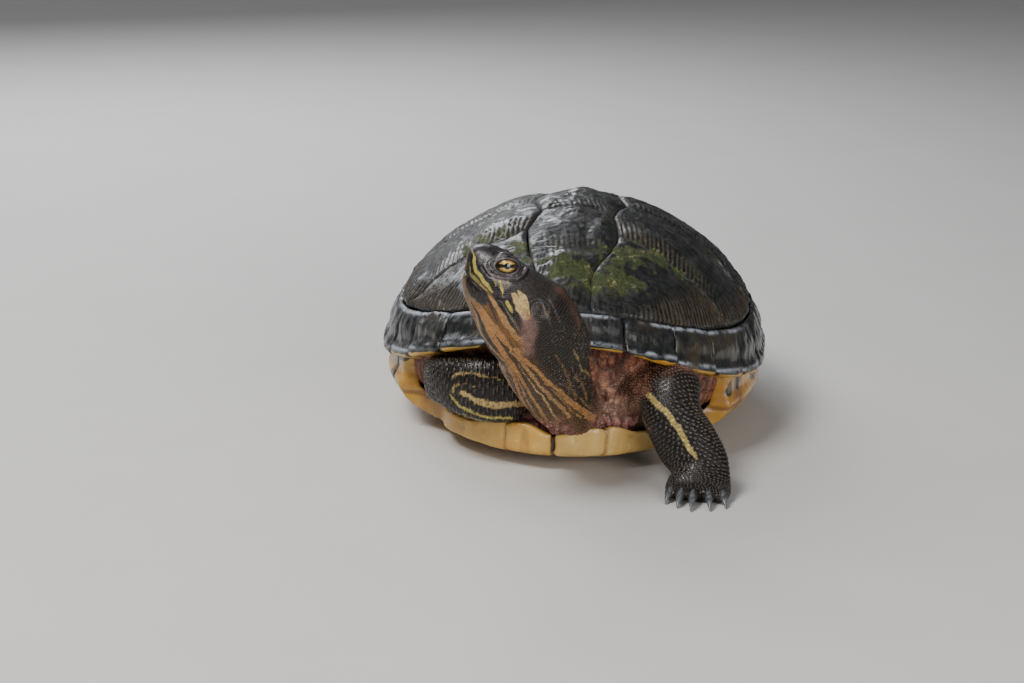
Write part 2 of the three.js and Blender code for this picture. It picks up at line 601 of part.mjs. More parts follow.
// Limbs, tail, neck and head, each made fat once to hollow out its neighbours
const limbs = [
  { leg: 'foreleg_left', foot: 'forefoot_left', shape: LEFT_ARM },
  { leg: 'foreleg_right', foot: 'forefoot_right', shape: RIGHT_ARM },
  { leg: 'hind_leg_left', foot: 'hind_foot_left', shape: LEFT_LEG },
  { leg: 'hind_leg_right', foot: 'hind_foot_right', shape: flipLimb(LEFT_LEG) },
];
const neckStations = headAndNeckStations();
const neckSteps = Math.round(neckStations.length * STEPS_EACH);
const neckWhole = roundBody(neckStations, neckSteps, NECK_FACETS);
const neckFat = roundBody(neckStations, neckSteps, NECK_FACETS, GAP);
const tailStations = limbStations(TAIL, [[1, 0, 0]]);
const tail = roundBody(tailStations, TAIL.length, TAIL_FACETS)
  .intersect(aboveFloor)
  .subtract(plastronRoom);
const tailFat = roundBody(tailStations, TAIL.length, TAIL_FACETS, GAP);

const taken = [neckFat, tailFat];
for (const { leg, foot, shape } of limbs) {
  const { near, far } = limb(shape);
  addNode(leg, largest(near.subtract(neckFat).subtract(plastronRoom).subtract(shellRoom)), SKIN);
  addNode(foot, largest(far.subtract(neckFat).subtract(plastronRoom)), SKIN);
  taken.push(limb(shape, GAP));
}
addNode('tail', tail, SKIN);
addNode('trunk', largest(trunkBody(taken)), SKIN);

const headCut = wall(NAPE_CUT, -HEAD_REACH, HEAD_REACH, headFrame);
const mouthCut = wall(MOUTH, -HEAD_REACH, HEAD_REACH, headFrame);
const sockets = eyeball('left', GAP).add(eyeball('right', GAP));
const cuts = wasm.Manifold.union([headCut, mouthCut, sockets, plastronRoom, shellRoom]);
const pieces = neckWhole.subtract(cuts).decompose();
pieces.sort((a, b) => a.boundingBox().min[2] - b.boundingBox().min[2]);
const [neck, ...skull] = pieces;
skull.sort((a, b) => b.volume() - a.volume());
addNode('neck', neck, SKIN);
addNode('head', skull[0], SKIN);
addNode('lower_jaw', skull[1], SKIN);
for (const side of ['left', 'right']) addNode(`eye_${side}`, eyeball(side), EYE);

export default turtle;
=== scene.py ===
# %% [markdown]
# # A pond slider turtle
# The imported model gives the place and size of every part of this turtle: a shell of horny
# plates, a plastron under it, and the flesh between them. Its solids are faceted and plain.
# This notebook dresses them. The plates and the plastron are modelled again on the same curved
# surfaces with their ridges, the flesh gets one skin with scales on it, and the eyes and claws
# are pieces of their own. The frame itself is never moved, so every new piece is made where
# the old one is.

# %% Load the frame
import itertools
import math
import bmesh
import bpy
import numpy as np
from mathutils import Matrix, Quaternion, Vector
from mathutils.bvhtree import BVHTree
from mathutils.kdtree import KDTree


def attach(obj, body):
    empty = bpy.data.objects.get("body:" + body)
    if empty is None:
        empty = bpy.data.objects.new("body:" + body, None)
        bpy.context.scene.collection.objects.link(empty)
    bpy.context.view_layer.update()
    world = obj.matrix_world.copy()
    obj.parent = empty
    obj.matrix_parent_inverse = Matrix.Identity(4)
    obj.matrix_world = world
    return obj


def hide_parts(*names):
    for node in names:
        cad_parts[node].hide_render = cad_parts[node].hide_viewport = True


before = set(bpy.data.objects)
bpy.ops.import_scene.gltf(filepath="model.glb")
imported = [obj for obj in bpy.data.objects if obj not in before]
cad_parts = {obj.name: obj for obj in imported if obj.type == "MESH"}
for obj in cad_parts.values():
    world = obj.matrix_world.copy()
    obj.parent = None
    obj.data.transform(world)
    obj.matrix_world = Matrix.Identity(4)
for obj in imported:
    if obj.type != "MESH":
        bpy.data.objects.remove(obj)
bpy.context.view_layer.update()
scene = bpy.context.scene

# %% [markdown]
# ## Camera, light and floor
# The camera stands low in front of the turtle, a little to its left, and looks down on it by
# about seventeen degrees, through a long lens that flattens the view. Its three axes are
# the columns of a matrix, which is surer than turning it by angles. Three large soft lamps
# light the shell: a wet shell shows each lamp as a broad pale gloss, so big lamps look like
# daylight and small ones like sparks. The floor is a plain pale sheet that curves up at
# the back.

# %% Place the camera
def linked(name, data):
    """Puts an object that shows the data into the scene."""
    made = bpy.data.objects.new(name, data)
    scene.collection.objects.link(made)
    return made


right = Vector((0.9935, 0.1081, 0.0367)).normalized()
up = Vector((-0.0635, 0.2565, 0.9645)).normalized()
back = right.cross(up).normalized()
eye_point = Vector((0.0854, -1.1910, 0.3560))
lens = bpy.data.cameras.new("camera")
lens.lens = 85
lens.sensor_width = 36
lens.clip_start = 0.05
camera = linked("camera", lens)
turned = Matrix((right, up, back)).transposed()
camera.matrix_world = Matrix.Translation(eye_point) @ turned.to_4x4()
scene.camera = camera
print("camera at", tuple(round(v, 3) for v in eye_point))

# %% Hang the lamps
HEART = (0, -0.04, 0.06)


def hang_lamp(name, place, width, height, watts, colour):
    """A soft lamp, turned towards the heart of the turtle."""
    light = bpy.data.lights.new(name, "AREA")
    light.shape = "RECTANGLE"
    light.size = width
    light.size_y = height
    light.energy = watts
    light.color = colour
    lamp = linked(name, light)
    lamp.location = place
    lamp.rotation_euler = (Vector(HEART) - Vector(place)).to_track_quat("-Z", "Y").to_euler()


hang_lamp("key_lamp", (-0.55, -0.65, 1.15), 0.55, 0.45, 17, (1.0, 0.985, 0.96))
hang_lamp("fill_lamp", (0.75, -1.25, 0.42), 0.8, 0.7, 12, (1.0, 0.97, 0.93))
hang_lamp("back_lamp", (-0.62, 0.8, 0.68), 1.0, 0.5, 11, (0.93, 0.96, 1.0))
world = bpy.data.worlds.new("studio")
scene.world = world
world.use_nodes = True
sky = world.node_tree.nodes["Background"].inputs
sky["Color"].default_value = (0.86, 0.9, 1.0, 1)
sky["Strength"].default_value = 0.18

# %% [markdown]
# ## Writing materials as sums
# Every finish here is a small calculation: a mask of stripes times a colour, plus a little
# noise. Blender keeps such calculations as nodes. Writing them node by node hides the idea, so
# one small class holds a socket and lets Python's own signs add the Math nodes. Colours go
# through a Mix node, because a Math node would turn them grey.

# %% A socket that can be reckoned with
class Wire:
    """The output of a node, with arithmetic that adds Math nodes."""

    def __init__(self, tree, socket):
        self.tree = tree
        self.socket = socket

    def math(self, operation, *others):
        values = dict(enumerate((self, *others)))
        return add_node(self.tree, "ShaderNodeMath", values, {"operation": operation})

    def __add__(self, other):
        return self.math("ADD", other)

    def __sub__(self, other):
        return self.math("SUBTRACT", other)

    def __rsub__(self, other):
        return self.math("MULTIPLY_ADD", -1.0, other)

    def __mul__(self, other):
        return self.math("MULTIPLY", other)

    __radd__ = __add__
    __rmul__ = __mul__

    def ramp(self, low, high):
        """0 below low, 1 above high, smooth between; high may be the lower one."""
        turned = low > high
        first, last = sorted((low, high))
        limits = {"From Min": first, "From Max": last, "To Min": int(turned), "To Max": 1 - turned}
        return add_node(self.tree, "ShaderNodeMapRange", {"Value": self, **limits},
                        {"interpolation_type": "SMOOTHSTEP"})


def plug(tree, slot, value):
    """Links a wire to a socket, or sets the socket to a plain value."""
    if isinstance(value, Wire):
        tree.links.new(value.socket, slot)
    elif slot.type == "RGBA":
        slot.default_value = (*value, 1)
    else:
        slot.default_value = value


def add_node(tree, kind, inputs, settings, out=0):
    """A node of any type: its settings first, then its sockets, by name or by number."""
    node = tree.nodes.new(kind)
    for name, value in settings.items():
        setattr(node, name, value)
    for key, value in inputs.items():
        plug(tree, node.inputs[key], value)
    return Wire(tree, node.outputs[out])


class Finish:
    """A material under way: its nodes are asked for by what they do."""

    def __init__(self, name, **constants):
        self.material = bpy.data.materials.new(name)
        self.material.use_nodes = True
        self.tree = self.material.node_tree
        self.set(**constants)
        self.place = add_node(self.tree, "ShaderNodeTexCoord", {}, {}, "Object")

    def set(self, **values):
        """Values or wires for the shader's sockets."""
        shader = self.tree.nodes["Principled BSDF"]
        for socket, value in values.items():
            plug(self.tree, shader.inputs[socket.replace("_", " ")], value)

    def noise(self, size_mm, detail=3.0, rough=0.55, drawn=(1, 1, 1)):
        """Smooth noise with lumps of a size, which a small number in drawn makes longer."""
        place = self.place
        if drawn != (1, 1, 1):
            place = add_node(self.tree, "ShaderNodeMapping", {"Vector": place, "Scale": drawn}, {})
        inputs = {"Vector": place, "Scale": 1000 / size_mm, "Detail": detail, "Roughness": rough}
        return add_node(self.tree, "ShaderNodeTexNoise", inputs, {})

    def painted(self, name):
        """A number that was worked out for each corner of the mesh."""
        return add_node(self.tree, "ShaderNodeAttribute", {}, {"attribute_name": name}, "Fac")

    def mix(self, share, first, second):
        """A blend of two colours, by the node's sockets for colours."""
        inputs = {0: share, 6: first, 7: second}
        return add_node(self.tree, "ShaderNodeMix", inputs, {"data_type": "RGBA"}, 2)

    def bump(self, height, depth_mm, strength=1.0):
        """Height from 0 to 1 as a raised surface."""
        inputs = {"Height": height, "Distance": depth_mm / 1000, "Strength": strength}
        self.set(Normal=add_node(self.tree, "ShaderNodeBump", inputs, {}))


# %% Spread the floor
def verts_of(geometry):
    """The corners among the things that an operator made."""
    return [item for item in geometry if isinstance(item, bmesh.types.BMVert)]


def edges_of(geometry):
    return [item for item in geometry if isinstance(item, bmesh.types.BMEdge)]


def mesh_of(bm, name):
    """Writes a bmesh out as a mesh, and frees it."""
    mesh = bpy.data.meshes.new(name)
    bm.to_mesh(mesh)
    bm.free()
    return mesh


def floor_piece(half=6):
    """A wide sheet, bent up into a wall far behind the turtle."""
    bm = bmesh.new()
    bmesh.ops.create_grid(bm, x_segments=2, y_segments=2, size=half)
    far = [edge for edge in bm.edges if all(v.co.y > half - 0.1 for v in edge.verts)]
    raised = bmesh.ops.extrude_edge_only(bm, edges=far)["geom"]
    bmesh.ops.translate(bm, verts=verts_of(raised), vec=(0, 0, half))
    sheet = linked("floor", mesh_of(bm, "floor"))
    paper = Finish("floor_paper", Roughness=0.85)
    paper.set(Base_Color=paper.mix(paper.noise(60), (0.60, 0.585, 0.56), (0.64, 0.63, 0.61)))
    sheet.data.materials.append(paper.material)
    return sheet


floor = floor_piece()
print("floor:", len(floor.data.polygons), "faces")

# %% [markdown]
# ## The surfaces of the shell
# The shell is one dome, however many plates cover it. Seen from above its outline is a
# squarish oval, and the dome falls from the top to the edge along the same kind of curve. The
# same two formulas that shaped the solids are written here for whole arrays of points at once.
# A point is named by its bearing round the shell and its share of the way out to the edge. To
# lay an even grid over the steep flanks, shares are stretched into a chart, on which equal
# steps are about equal lengths of shell.

# %% Dome and bowl in numbers
SHELL_HALF = (96.5, 125.0)
SHELL_TOP = 110.0
OUTLINE_POWER = 2.12
DOME_POWER = 1.72
BOWL_HALF = (96.0, 117.0)
BOWL_POWER = 2.7
BOWL_SINK = 0.9
RING = 0.92


def signed_power(value, power):
    return np.sign(value) * np.abs(value) ** power


def flare(bearing):
    """The shell is a little wider behind than in front."""
    return 1 - 0.05 * np.cos(bearing) * np.abs(np.sin(bearing))


def outline(bearing, half=SHELL_HALF):
    """Bearing 0 is over the neck and a quarter turn is at the left flank."""
    x = half[0] * flare(bearing) * signed_power(np.sin(bearing), 2 / OUTLINE_POWER)
    y = -half[1] * signed_power(np.cos(bearing), 2 / OUTLINE_POWER)
    return x, y


def height_round(bearing, front, side, rear):
    ahead = np.maximum(0, np.cos(bearing)) ** 2.4
    behind = np.maximum(0, -np.cos(bearing)) ** 2
    return side + (front - side) * ahead + (rear - side) * behind


def rim_height(bearing):
    return height_round(bearing, 66.0, 33.5, 38.0)


def bowl_edge(bearing):
    return height_round(bearing, 15.0, 33.0, 14.0)


def polar(x, y, half=SHELL_HALF):
    """The share of the outline and the bearing at which a point of the plan lies."""
    along = signed_power(-y / half[1], OUTLINE_POWER / 2)
    wider = 1.0
    for _ in range(4):
        across = signed_power(x / (half[0] * wider), OUTLINE_POWER / 2)
        bearing = np.arctan2(across, along)
        wider = flare(bearing)
    return np.hypot(across, along) ** (2 / OUTLINE_POWER), bearing


def chart_share(share):
    return np.arcsin(np.clip(share, 0, 1) ** (DOME_POWER / 2)) * 2 / np.pi


def plan_share(stretched):
    return np.sin(stretched * np.pi / 2) ** (2 / DOME_POWER)


def to_chart(x, y):
    share, bearing = polar(np.asarray(x, float), np.asarray(y, float))
    reach = outline(bearing)
    return np.stack([chart_share(share) * reach[0], chart_share(share) * reach[1]], -1)


def dome_at(share, bearing):
    x, y = outline(bearing)
    rim = rim_height(bearing)
    rise = (1 - np.clip(share, 0, 1) ** DOME_POWER) ** (1 / DOME_POWER)
    return np.stack([x * share, y * share, rim + (SHELL_TOP - rim) * rise], -1)


def dome_from_chart(chart):
    stretched, bearing = polar(chart[..., 0], chart[..., 1])
    return dome_at(plan_share(np.minimum(stretched, 1)), bearing)


probe = dome_from_chart(to_chart([0.0, 60.0, 0.0], [10.0, 30.0, -110.0]))
print("three points of the dome, mm:", probe.round(1).tolist())

# %% [markdown]
# ## Roughness with a size
# Horn and skin are uneven at every scale. A lattice of random numbers, read with smooth steps
# between its corners, gives a gentle landscape whose lumps have a chosen size. The numbers come
# from a fixed seed, so the turtle is the same each time.

# %% Smooth random heights
CELLS = 32
rng = np.random.default_rng(20)
LATTICE = rng.uniform(-1, 1, (CELLS, CELLS, CELLS))


def lumps(points, size, shift=0.0):
    """Heights between -1 and 1 that wander over about size millimetres."""
    place = np.asarray(points, float) / size + shift
    cell = np.floor(place).astype(int)
    part = place - cell
    part = part * part * (3 - 2 * part)
    total = 0.0
    for corner in itertools.product((0, 1), repeat=3):
        weight = np.prod(np.where(corner, part, 1 - part), axis=-1)
        i, j, k = np.moveaxis((cell + corner) % CELLS, -1, 0)
        total = total + weight * LATTICE[i, j, k]
    return total


def drift(points, size, shifts):
    """The heights of several landscapes of one size, side by side."""
    return np.stack([lumps(points, size, shift) for shift in shifts], -1)


def creased(points, size, shift):
    """A landscape of sharp ridges, 1 on their tops."""
    return 1 - 2 * np.abs(lumps(points, size, shift))


def ease(value, low, high):
    """0 at low, 1 at high, smooth between; high may be the lower one."""
    part = np.clip((value - low) / (high - low), 0, 1)
    return part * part * (3 - 2 * part)


def bell(value, width):
    return np.exp(-((value / width) ** 2))


print("lumps at the origin:", round(float(lumps(np.zeros(3), 5)), 3))

# %% [markdown]
# ## The plates of the dome
# Thirteen large plates of horn cover the dome: five along the back and four down each side.
# Each grows a little every year round its whole edge, so it carries rings that follow its
# outline, and ridges that run out across them. A plate has four sides, so it starts as a flat
# square grid, and its four sides are stretched onto four seams drawn on the chart. Neighbours
# share a seam, so they always meet. The surface of the grid is then raised and lowered, and its
# border is turned down into the seam and closed underneath.

# %% Seams on the chart
SPINE_SIDE = [
    (16, -124), (15, -113), (13, -92), (19, -70), (22.5, -47), (18, -21), (24, 4), (17, 28),
    (23, 50), (12, 73), (28, 104), (31, 122),
]
COSTAL_SEAMS = [((22.5, -47), 68, 5), ((24, 4), 96, 2), ((23, 50), 124, -3)]
# Bearings at which the first and the last costal turn from their end to their flank
FRONT_BREAK, REAR_BREAK = 36, 148


def run_of(steps):
    """How far along a line its points lie, from the lengths of its steps."""
    return np.concatenate([[0], np.cumsum(steps)])


def read_line(line, run, places):
    """Points of a line, read at places along its run."""
    return np.stack([np.interp(places, run, column) for column in line.T], -1)


def fine_line(points, count=60):
    """The same line with evenly spaced points."""
    points = np.asarray(points, float)
    run = run_of(np.hypot(*np.diff(points, axis=0).T))
    return read_line(points, run, np.linspace(0, run[-1], count))


def on_dome(line):
    """What is left of a line on the chart where the marginals begin."""
    share, _ = polar(line[:, 0], line[:, 1])
    return line[share <= chart_share(RING)]


def ring_line(start, end, count=60):
    """Along the inner edge of the marginals, between two bearings in degrees."""
    bearing = np.radians(np.linspace(start, end, count))
    x, y = outline(bearing)
    return np.stack([x, y], -1) * chart_share(RING)


def spine_line(first, last):
    """Along the side of the vertebral plates, from one of its corners to another."""
    points = np.array(SPINE_SIDE[first:last + 1], float)
    return to_chart(points[:, 0], points[:, 1])


def costal_line(start, degrees, bow):
    """From a corner of the spine out to a bearing, bowed forward."""
    end = outline(np.radians(degrees))
    middle = ((start[0] + end[0]) / 2, (start[1] + end[1]) / 2 - bow)
    bent, straight = fine_line([start, middle, end], 90), fine_line([start, end], 90)
    return on_dome(to_chart(*np.array([straight, bent]).mean(0).T))


def bearing_of(point):
    return math.degrees(float(polar(np.array(point[0]), np.array(point[1]))[1]))


front_side = on_dome(fine_line(spine_line(0, 3), 200))
rear_side = on_dome(fine_line(spine_line(9, 11), 200))
FRONT_CORNER = bearing_of(front_side[0])
REAR_CORNER = bearing_of(rear_side[-1])


def vertebral_sides(number):
    """Front, rear, right and left seams of a vertebral plate, counted from the neck."""
    left = [front_side, spine_line(3, 5), spine_line(5, 7), spine_line(7, 9), rear_side][number]
    left = fine_line(left)
    right = left * (-1, 1)
    front, rear = (np.linspace(right[end], left[end], 60) for end in (0, -1))
    if number == 0:
        front = ring_line(-FRONT_CORNER, FRONT_CORNER)
    if number == 4:
        rear = ring_line(360 - REAR_CORNER, REAR_CORNER)
    return front, rear, right, left


def costal_sides(number):
    """The same for a costal plate on the left, from its spine side out to the marginals."""
    seams = [costal_line(*seam) for seam in COSTAL_SEAMS]
    ends = [FRONT_BREAK, *(bearing_of(seam[-1]) for seam in seams), REAR_BREAK]
    inner = [
        np.concatenate([front_side, spine_line(3, 4)[1:]]), spine_line(4, 6), spine_line(6, 8),
        np.concatenate([spine_line(8, 9), rear_side[1:]]),
    ][number]
    front = ring_line(FRONT_CORNER, FRONT_BREAK) if number == 0 else seams[number - 1]
    rear = ring_line(REAR_CORNER, REAR_BREAK) if number == 3 else seams[number]
    return fine_line(front), fine_line(rear), fine_line(inner), ring_line(*ends[number:number + 2])


print("corners on the rim, degrees:", round(FRONT_CORNER, 1), round(REAR_CORNER, 1))

# %% [markdown]
# ## From a grid to a plate
# Blender's grid operator makes the faces. The four seams then pull its corners and sides into
# place, and everything between is blended from them, which is called a Coons patch. Measured
# along its own lines, the grid tells how far each point is from each of its four seams. That
# is all that growth rings and ridges need: rings are waves of the distance from the border,
# and ridges are waves of the distance along it.

# %% Lay a patch between four seams
def blank_grid(across, along):
    """A square grid, with the row and the column of each of its corners."""
    bm = bmesh.new()
    bmesh.ops.create_grid(bm, x_segments=across, y_segments=along, size=0.5)
    flat = np.array([v.co for v in bm.verts])
    columns = np.rint((flat[:, 0] + 0.5) * across).astype(int)
    rows = np.rint((flat[:, 1] + 0.5) * along).astype(int)
    return bm, rows, columns


def coons(sides, u, v):
    """Points between four seams: front and rear run with u, the two flanks run with v."""
    front, rear, near, far = sides
    at = lambda line, share: read_line(line, np.linspace(0, 1, len(line)), share[..., 0])
    u, v = u[..., None], v[..., None]
    corners = ((1 - u) * (1 - v) * front[0] + u * (1 - v) * front[-1]
               + (1 - u) * v * rear[0] + u * v * rear[-1])
    ruled = ((1 - v) * at(front, u) + v * at(rear, u)
             + (1 - u) * at(near, v) + u * at(far, v))
    return ruled - corners


def lines_of(grid):
    """Distances over a grid of points from its four sides, in millimetres."""
    steps_u = np.linalg.norm(np.diff(grid, axis=1), axis=-1)
    steps_v = np.linalg.norm(np.diff(grid, axis=0), axis=-1)
    run_u = np.pad(np.cumsum(steps_u, 1), ((0, 0), (1, 0)))
    run_v = np.pad(np.cumsum(steps_v, 0), ((1, 0), (0, 0)))
    return run_v, run_v[-1:] - run_v, run_u, run_u[:, -1:] - run_u


def unit(vector):
    vector = np.asarray(vector, float)
    return vector / np.linalg.norm(vector, axis=-1, keepdims=True)


def normals_of(grid):
    """Directions straight out of a grid, away from the middle of the shell."""
    normal = unit(np.cross(np.gradient(grid, axis=1), np.gradient(grid, axis=0)))
    return normal * np.sign(np.sum(normal * (grid - (0, 0, 30.0))))


def close_to_point(bm, edges, centre):
    """Closes an open border with a cone of faces that meet in one point."""
    pole = bmesh.ops.extrude_edge_only(bm, edges=edges)["geom"]
    bmesh.ops.pointmerge(bm, verts=verts_of(pole), merge_co=centre)


def close_under(bm, depth, normals):
    """Turns the border of a patch down and closes it with a shallow cone underneath."""
    border = [edge for edge in bm.edges if edge.is_boundary]
    rim = list({vert for edge in border for vert in edge.verts})
    down = {vert.index: normals[vert.index] for vert in rim}
    geometry = bmesh.ops.extrude_edge_only(bm, edges=border)["geom"]
    skirt = verts_of(geometry)
    tree = KDTree(len(rim))
    for vert in rim:
        tree.insert(vert.co, vert.index)
    tree.balance()
    for vert in skirt:
        vert.co -= Vector(down[tree.find(vert.co)[1]]) * depth
    centre = sum((vert.co for vert in skirt), Vector()) / len(skirt)
    close_to_point(bm, edges_of(geometry), centre)


def ride_as(name, mesh, finish, paint, nodes):
    """Paints a finished mesh, and lets it ride on the body in place of its nodes."""
    for key, values in paint.items():
        layer = mesh.attributes.new(key, "FLOAT", "POINT")
        padded = np.zeros(len(mesh.vertices), np.float32)
        padded[:len(values)] = values
        layer.data.foreach_set("value", padded)
    mesh.materials.append(finish)
    mesh.shade_smooth()
    piece = linked(name, mesh)
    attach(piece, "root")
    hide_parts(*nodes)
    return piece


def finish_piece(bm, name, finish, paint, nodes):
    """Writes a shape made in millimetres out in metres, with nothing below the floor."""
    bmesh.ops.recalc_face_normals(bm, faces=bm.faces)
    for vert in bm.verts:
        vert.co.z = max(vert.co.z, 0)
    mesh = mesh_of(bm, name)
    mesh.transform(Matrix.Scale(0.001, 4))
    return ride_as(name, mesh, finish, paint, nodes)


def triangles(*pieces):
    return sum(len(face.vertices) - 2 for piece in pieces for face in piece.data.polygons)


def corners_of(bm):
    """Places and normals of a shape's corners."""
    bm.normal_update()
    return np.array([v.co for v in bm.verts]), np.array([v.normal for v in bm.verts])


def place_corners(bm, points):
    for vert, point in zip(bm.verts, points):
        vert.co = point


def grown_plate(name, node, finish, lattice, grid, height, paint, depth):
    """Raises a grid into a plate, closes it underneath and finishes it."""
    bm, rows, columns = lattice
    normals = normals_of(grid)
    place_corners(bm, (grid + normals * height[..., None])[rows, columns])
    bm.verts.index_update()
    close_under(bm, depth, normals[rows, columns])
    paint = {key: values[rows, columns] for key, values in paint.items()}
    return finish_piece(bm, name, finish, paint, [node])


probe, _, _ = blank_grid(2, 3)
print("a grid of 2 by 3 has", len(probe.verts), "corners")
probe.free()

# %% [markdown]
# ## Rings, ridges and wear
# On this old shell the rings show as fine steps near each seam, and ridges run straight across
# them like the teeth of a comb, strongest in a band along the front of the second costal
# plates and down the lower half of the first. Along the spine the plates are lumpy, with a low
# worn keel. Every plate swells a little between its seams and rolls down into them.

# %% Relief of a dome plate
# Millimetres of flank for each radian of bearing
FLANK_REACH = 95.0


def waves(value, pitch, wobble):
    return np.sin(value * (2 * np.pi / pitch) + wobble * 2.2)


def sharp(wave):
    """Rounds the tops of a wave and narrows its troughs, as on worn ridges."""
    return 1 - (0.5 - 0.5 * wave) ** 1.8 * 2


def plate_relief(grid, comb):
    """comb gives how strong the ridges are from the front, rear, near and far seams."""
    front, rear, near, far = lines_of(grid)
    edge = np.minimum(np.minimum(front, rear), np.minimum(near, far))
    wobble = lumps(grid, 11.0)
    fine = lumps(grid, 2.6, 7.1)
    along_seam = sharp(waves(near, 2.7, wobble + 0.3 * fine))
    share, bearing = polar(grid[..., 0], grid[..., 1])
    outer = ease(share, 0.5, 0.66)
    down_flank = ((1 - outer) * sharp(waves(front, 3.0, wobble + 0.3 * fine))
                  + outer * sharp(waves(bearing * FLANK_REACH, 2.6, wobble + 0.3 * fine)))
    shares = []
    for distance, strength, far_reach in zip((front, rear, near, far), comb, comb[4:] or (13.0,) * 4):
        reach = far_reach * (1 + 0.38 * lumps(grid, 14.0, 3.3))
        shares.append(strength * np.exp(-((distance / reach) ** 3)) * ease(distance, 0.4, 2))
    patch = ease(lumps(grid, 15.0, 5.7), -0.5, 0.25)
    first = (shares[0] + shares[1]) * (0.3 + 0.7 * ease(grid[..., 2], 68.0, 88.0))
    second = shares[2] + shares[3]
    either = ease(first - second, -0.15, 0.15)
    ridge = either * first * along_seam + (1 - either) * second * down_flank
    rings = waves(edge, 2.1, 0.8 * wobble) * np.exp(-edge / 7.0) * ease(edge, 0.8, 2.0)
    swell = 1.9 * (1 - np.exp(-edge / 8.0)) - 1.1
    roll = -1.1 * np.exp(-((edge / (0.75 + 0.35 * fine)) ** 1.5))
    soft = 0.8 * lumps(grid, 19.0, 1.7) + 0.38 * lumps(grid, 7.0, 9.2)
    crease = creased((grid + 1.5 * drift(grid, 8.0, (1.0, 4.0, 8.5))) * (1, 1, 0.6), 4.2, 2.2)
    pitted = ease(lumps(grid, 2.1, 5.2), 0.15, 0.7)
    rough = 0.3 * crease + 0.16 * fine - 0.22 * pitted
    height = swell + roll + soft + rough + 0.13 * rings + 0.46 * ridge * (0.45 + 0.55 * patch)
    return height, {"edge": np.exp(-edge / 1.6), "ridge": ridge, "crease": crease}


def keel(grid, number):
    """The worn keel and the knob at the back of each plate of the spine."""
    _, rear, _, _ = lines_of(grid)
    middle = bell(grid[..., 0] - 1.5 * lumps(grid, 18.0, 2.2), 5.5)
    knob = bell(rear - 9.0, 7.0) * (1.6, 1.5, 1.3, 1.0, 0.5)[number]
    lump = ease(lumps(grid, 9.0, 4.4), 0.1, 0.7) * (0.9, 0.8, 0.45, 0.4, 0.4)[number]
    return middle * (0.5 + knob) + lump


def algae_cover(grid):
    """Where green algae clings: high on the first plates, in broken patches."""
    y, z = grid[..., 1], grid[..., 2]
    ahead = ease(y, -25.0, -52.0) * ease(y, -112.0, -92.0)
    high = ease(z, 78.0, 88.0) * ease(z, 103.0, 97.0)
    broken = ease(lumps(grid, 13.0, 6.1) + 0.8 * lumps(grid, 4.0, 2.9), -0.5, 0.35)
    return ahead * high * broken


flat_patch = np.dstack([*np.meshgrid(np.arange(20.0), np.arange(20.0)), np.zeros((20, 20))])
print("relief of a flat patch, mm:", np.round(np.ptp(plate_relief(flat_patch, (1, 0, 0, 0))[0]), 2))

# %% [markdown]
# ## Wet horn
# The plates are almost black, with olive and brown where light goes a little way into the
# horn, and they are wet, so the gloss matters more than the colour. Two things make the gloss
# real: a clear coat for the water, and a fine bump that breaks it up. Raised ridges are scuffed
# paler and drier. Algae lies over it as a dull green felt.

# %% Horn for the dome and its edge
def dome_horn():
    finish = Finish("scute_horn", Specular_IOR_Level=0.28, Coat_Roughness=0.14, Coat_IOR=1.33)
    edge, ridge, algae = map(finish.painted, ("edge", "ridge", "algae"))
    broad = finish.noise(30)
    grain = finish.noise(3.2, 5, 0.62)
    speck = finish.noise(0.8, 3, 0.6)
    streaks = finish.noise(5, 4, 0.6, (1, 1, 0.22))
    black = finish.mix(grain.ramp(0.35, 0.7), (0.006, 0.0065, 0.007), (0.018, 0.019, 0.017))
    olive = finish.mix(streaks.ramp(0.4, 0.75), (0.02, 0.021, 0.011), (0.055, 0.048, 0.024))
    colour = finish.mix(broad.ramp(0.5, 0.72), black, olive)
    colour = finish.mix(ridge.ramp(0.15, 0.95) * 0.8, colour, (0.070, 0.049, 0.028))
    crest = finish.painted("crease").ramp(0.35, 0.95) * grain.ramp(0.35, 0.6)
    colour = finish.mix(crest * 0.5, colour, (0.036, 0.036, 0.039))
    scuffed = (edge * 1.4 + grain * 0.5).ramp(0.95, 1.5)
    colour = finish.mix(scuffed * 0.3, colour, (0.10, 0.104, 0.110))
    green = finish.mix(speck.ramp(0.35, 0.65), (0.020, 0.030, 0.007), (0.066, 0.080, 0.024))
    cream = finish.noise(5).ramp(0.5, 0.68) * finish.noise(1.3).ramp(0.46, 0.6)
    pale = finish.mix(cream, green, (0.30, 0.26, 0.13))
    felt = (algae * 1.25 + (grain - 0.5) * 1.5 + (finish.noise(8) - 0.5) * 1.6).ramp(0.35, 0.95)
    colour = finish.mix(felt * (speck.ramp(0.3, 0.55) * 0.5 + 0.4), colour, pale)
    wet = finish.noise(14, 4, 0.6).ramp(0.4, 0.62)
    rough = grain.ramp(0.3, 0.75) * 0.28 + 0.32 + felt * 0.3 + scuffed * 0.1
    finish.set(Base_Color=colour, Roughness=rough, Coat_Weight=wet * (1 - felt) * 0.8)
    finish.bump(grain * 0.6 + speck * 0.35 + streaks * 0.3, 0.9)
    return finish.material


scute_horn = dome_horn()
print("finish:", scute_horn.name, len(scute_horn.node_tree.nodes), "nodes")

# %% Make the thirteen plates
GRID_STEP = 0.55
SEAM_GAP = 0.003


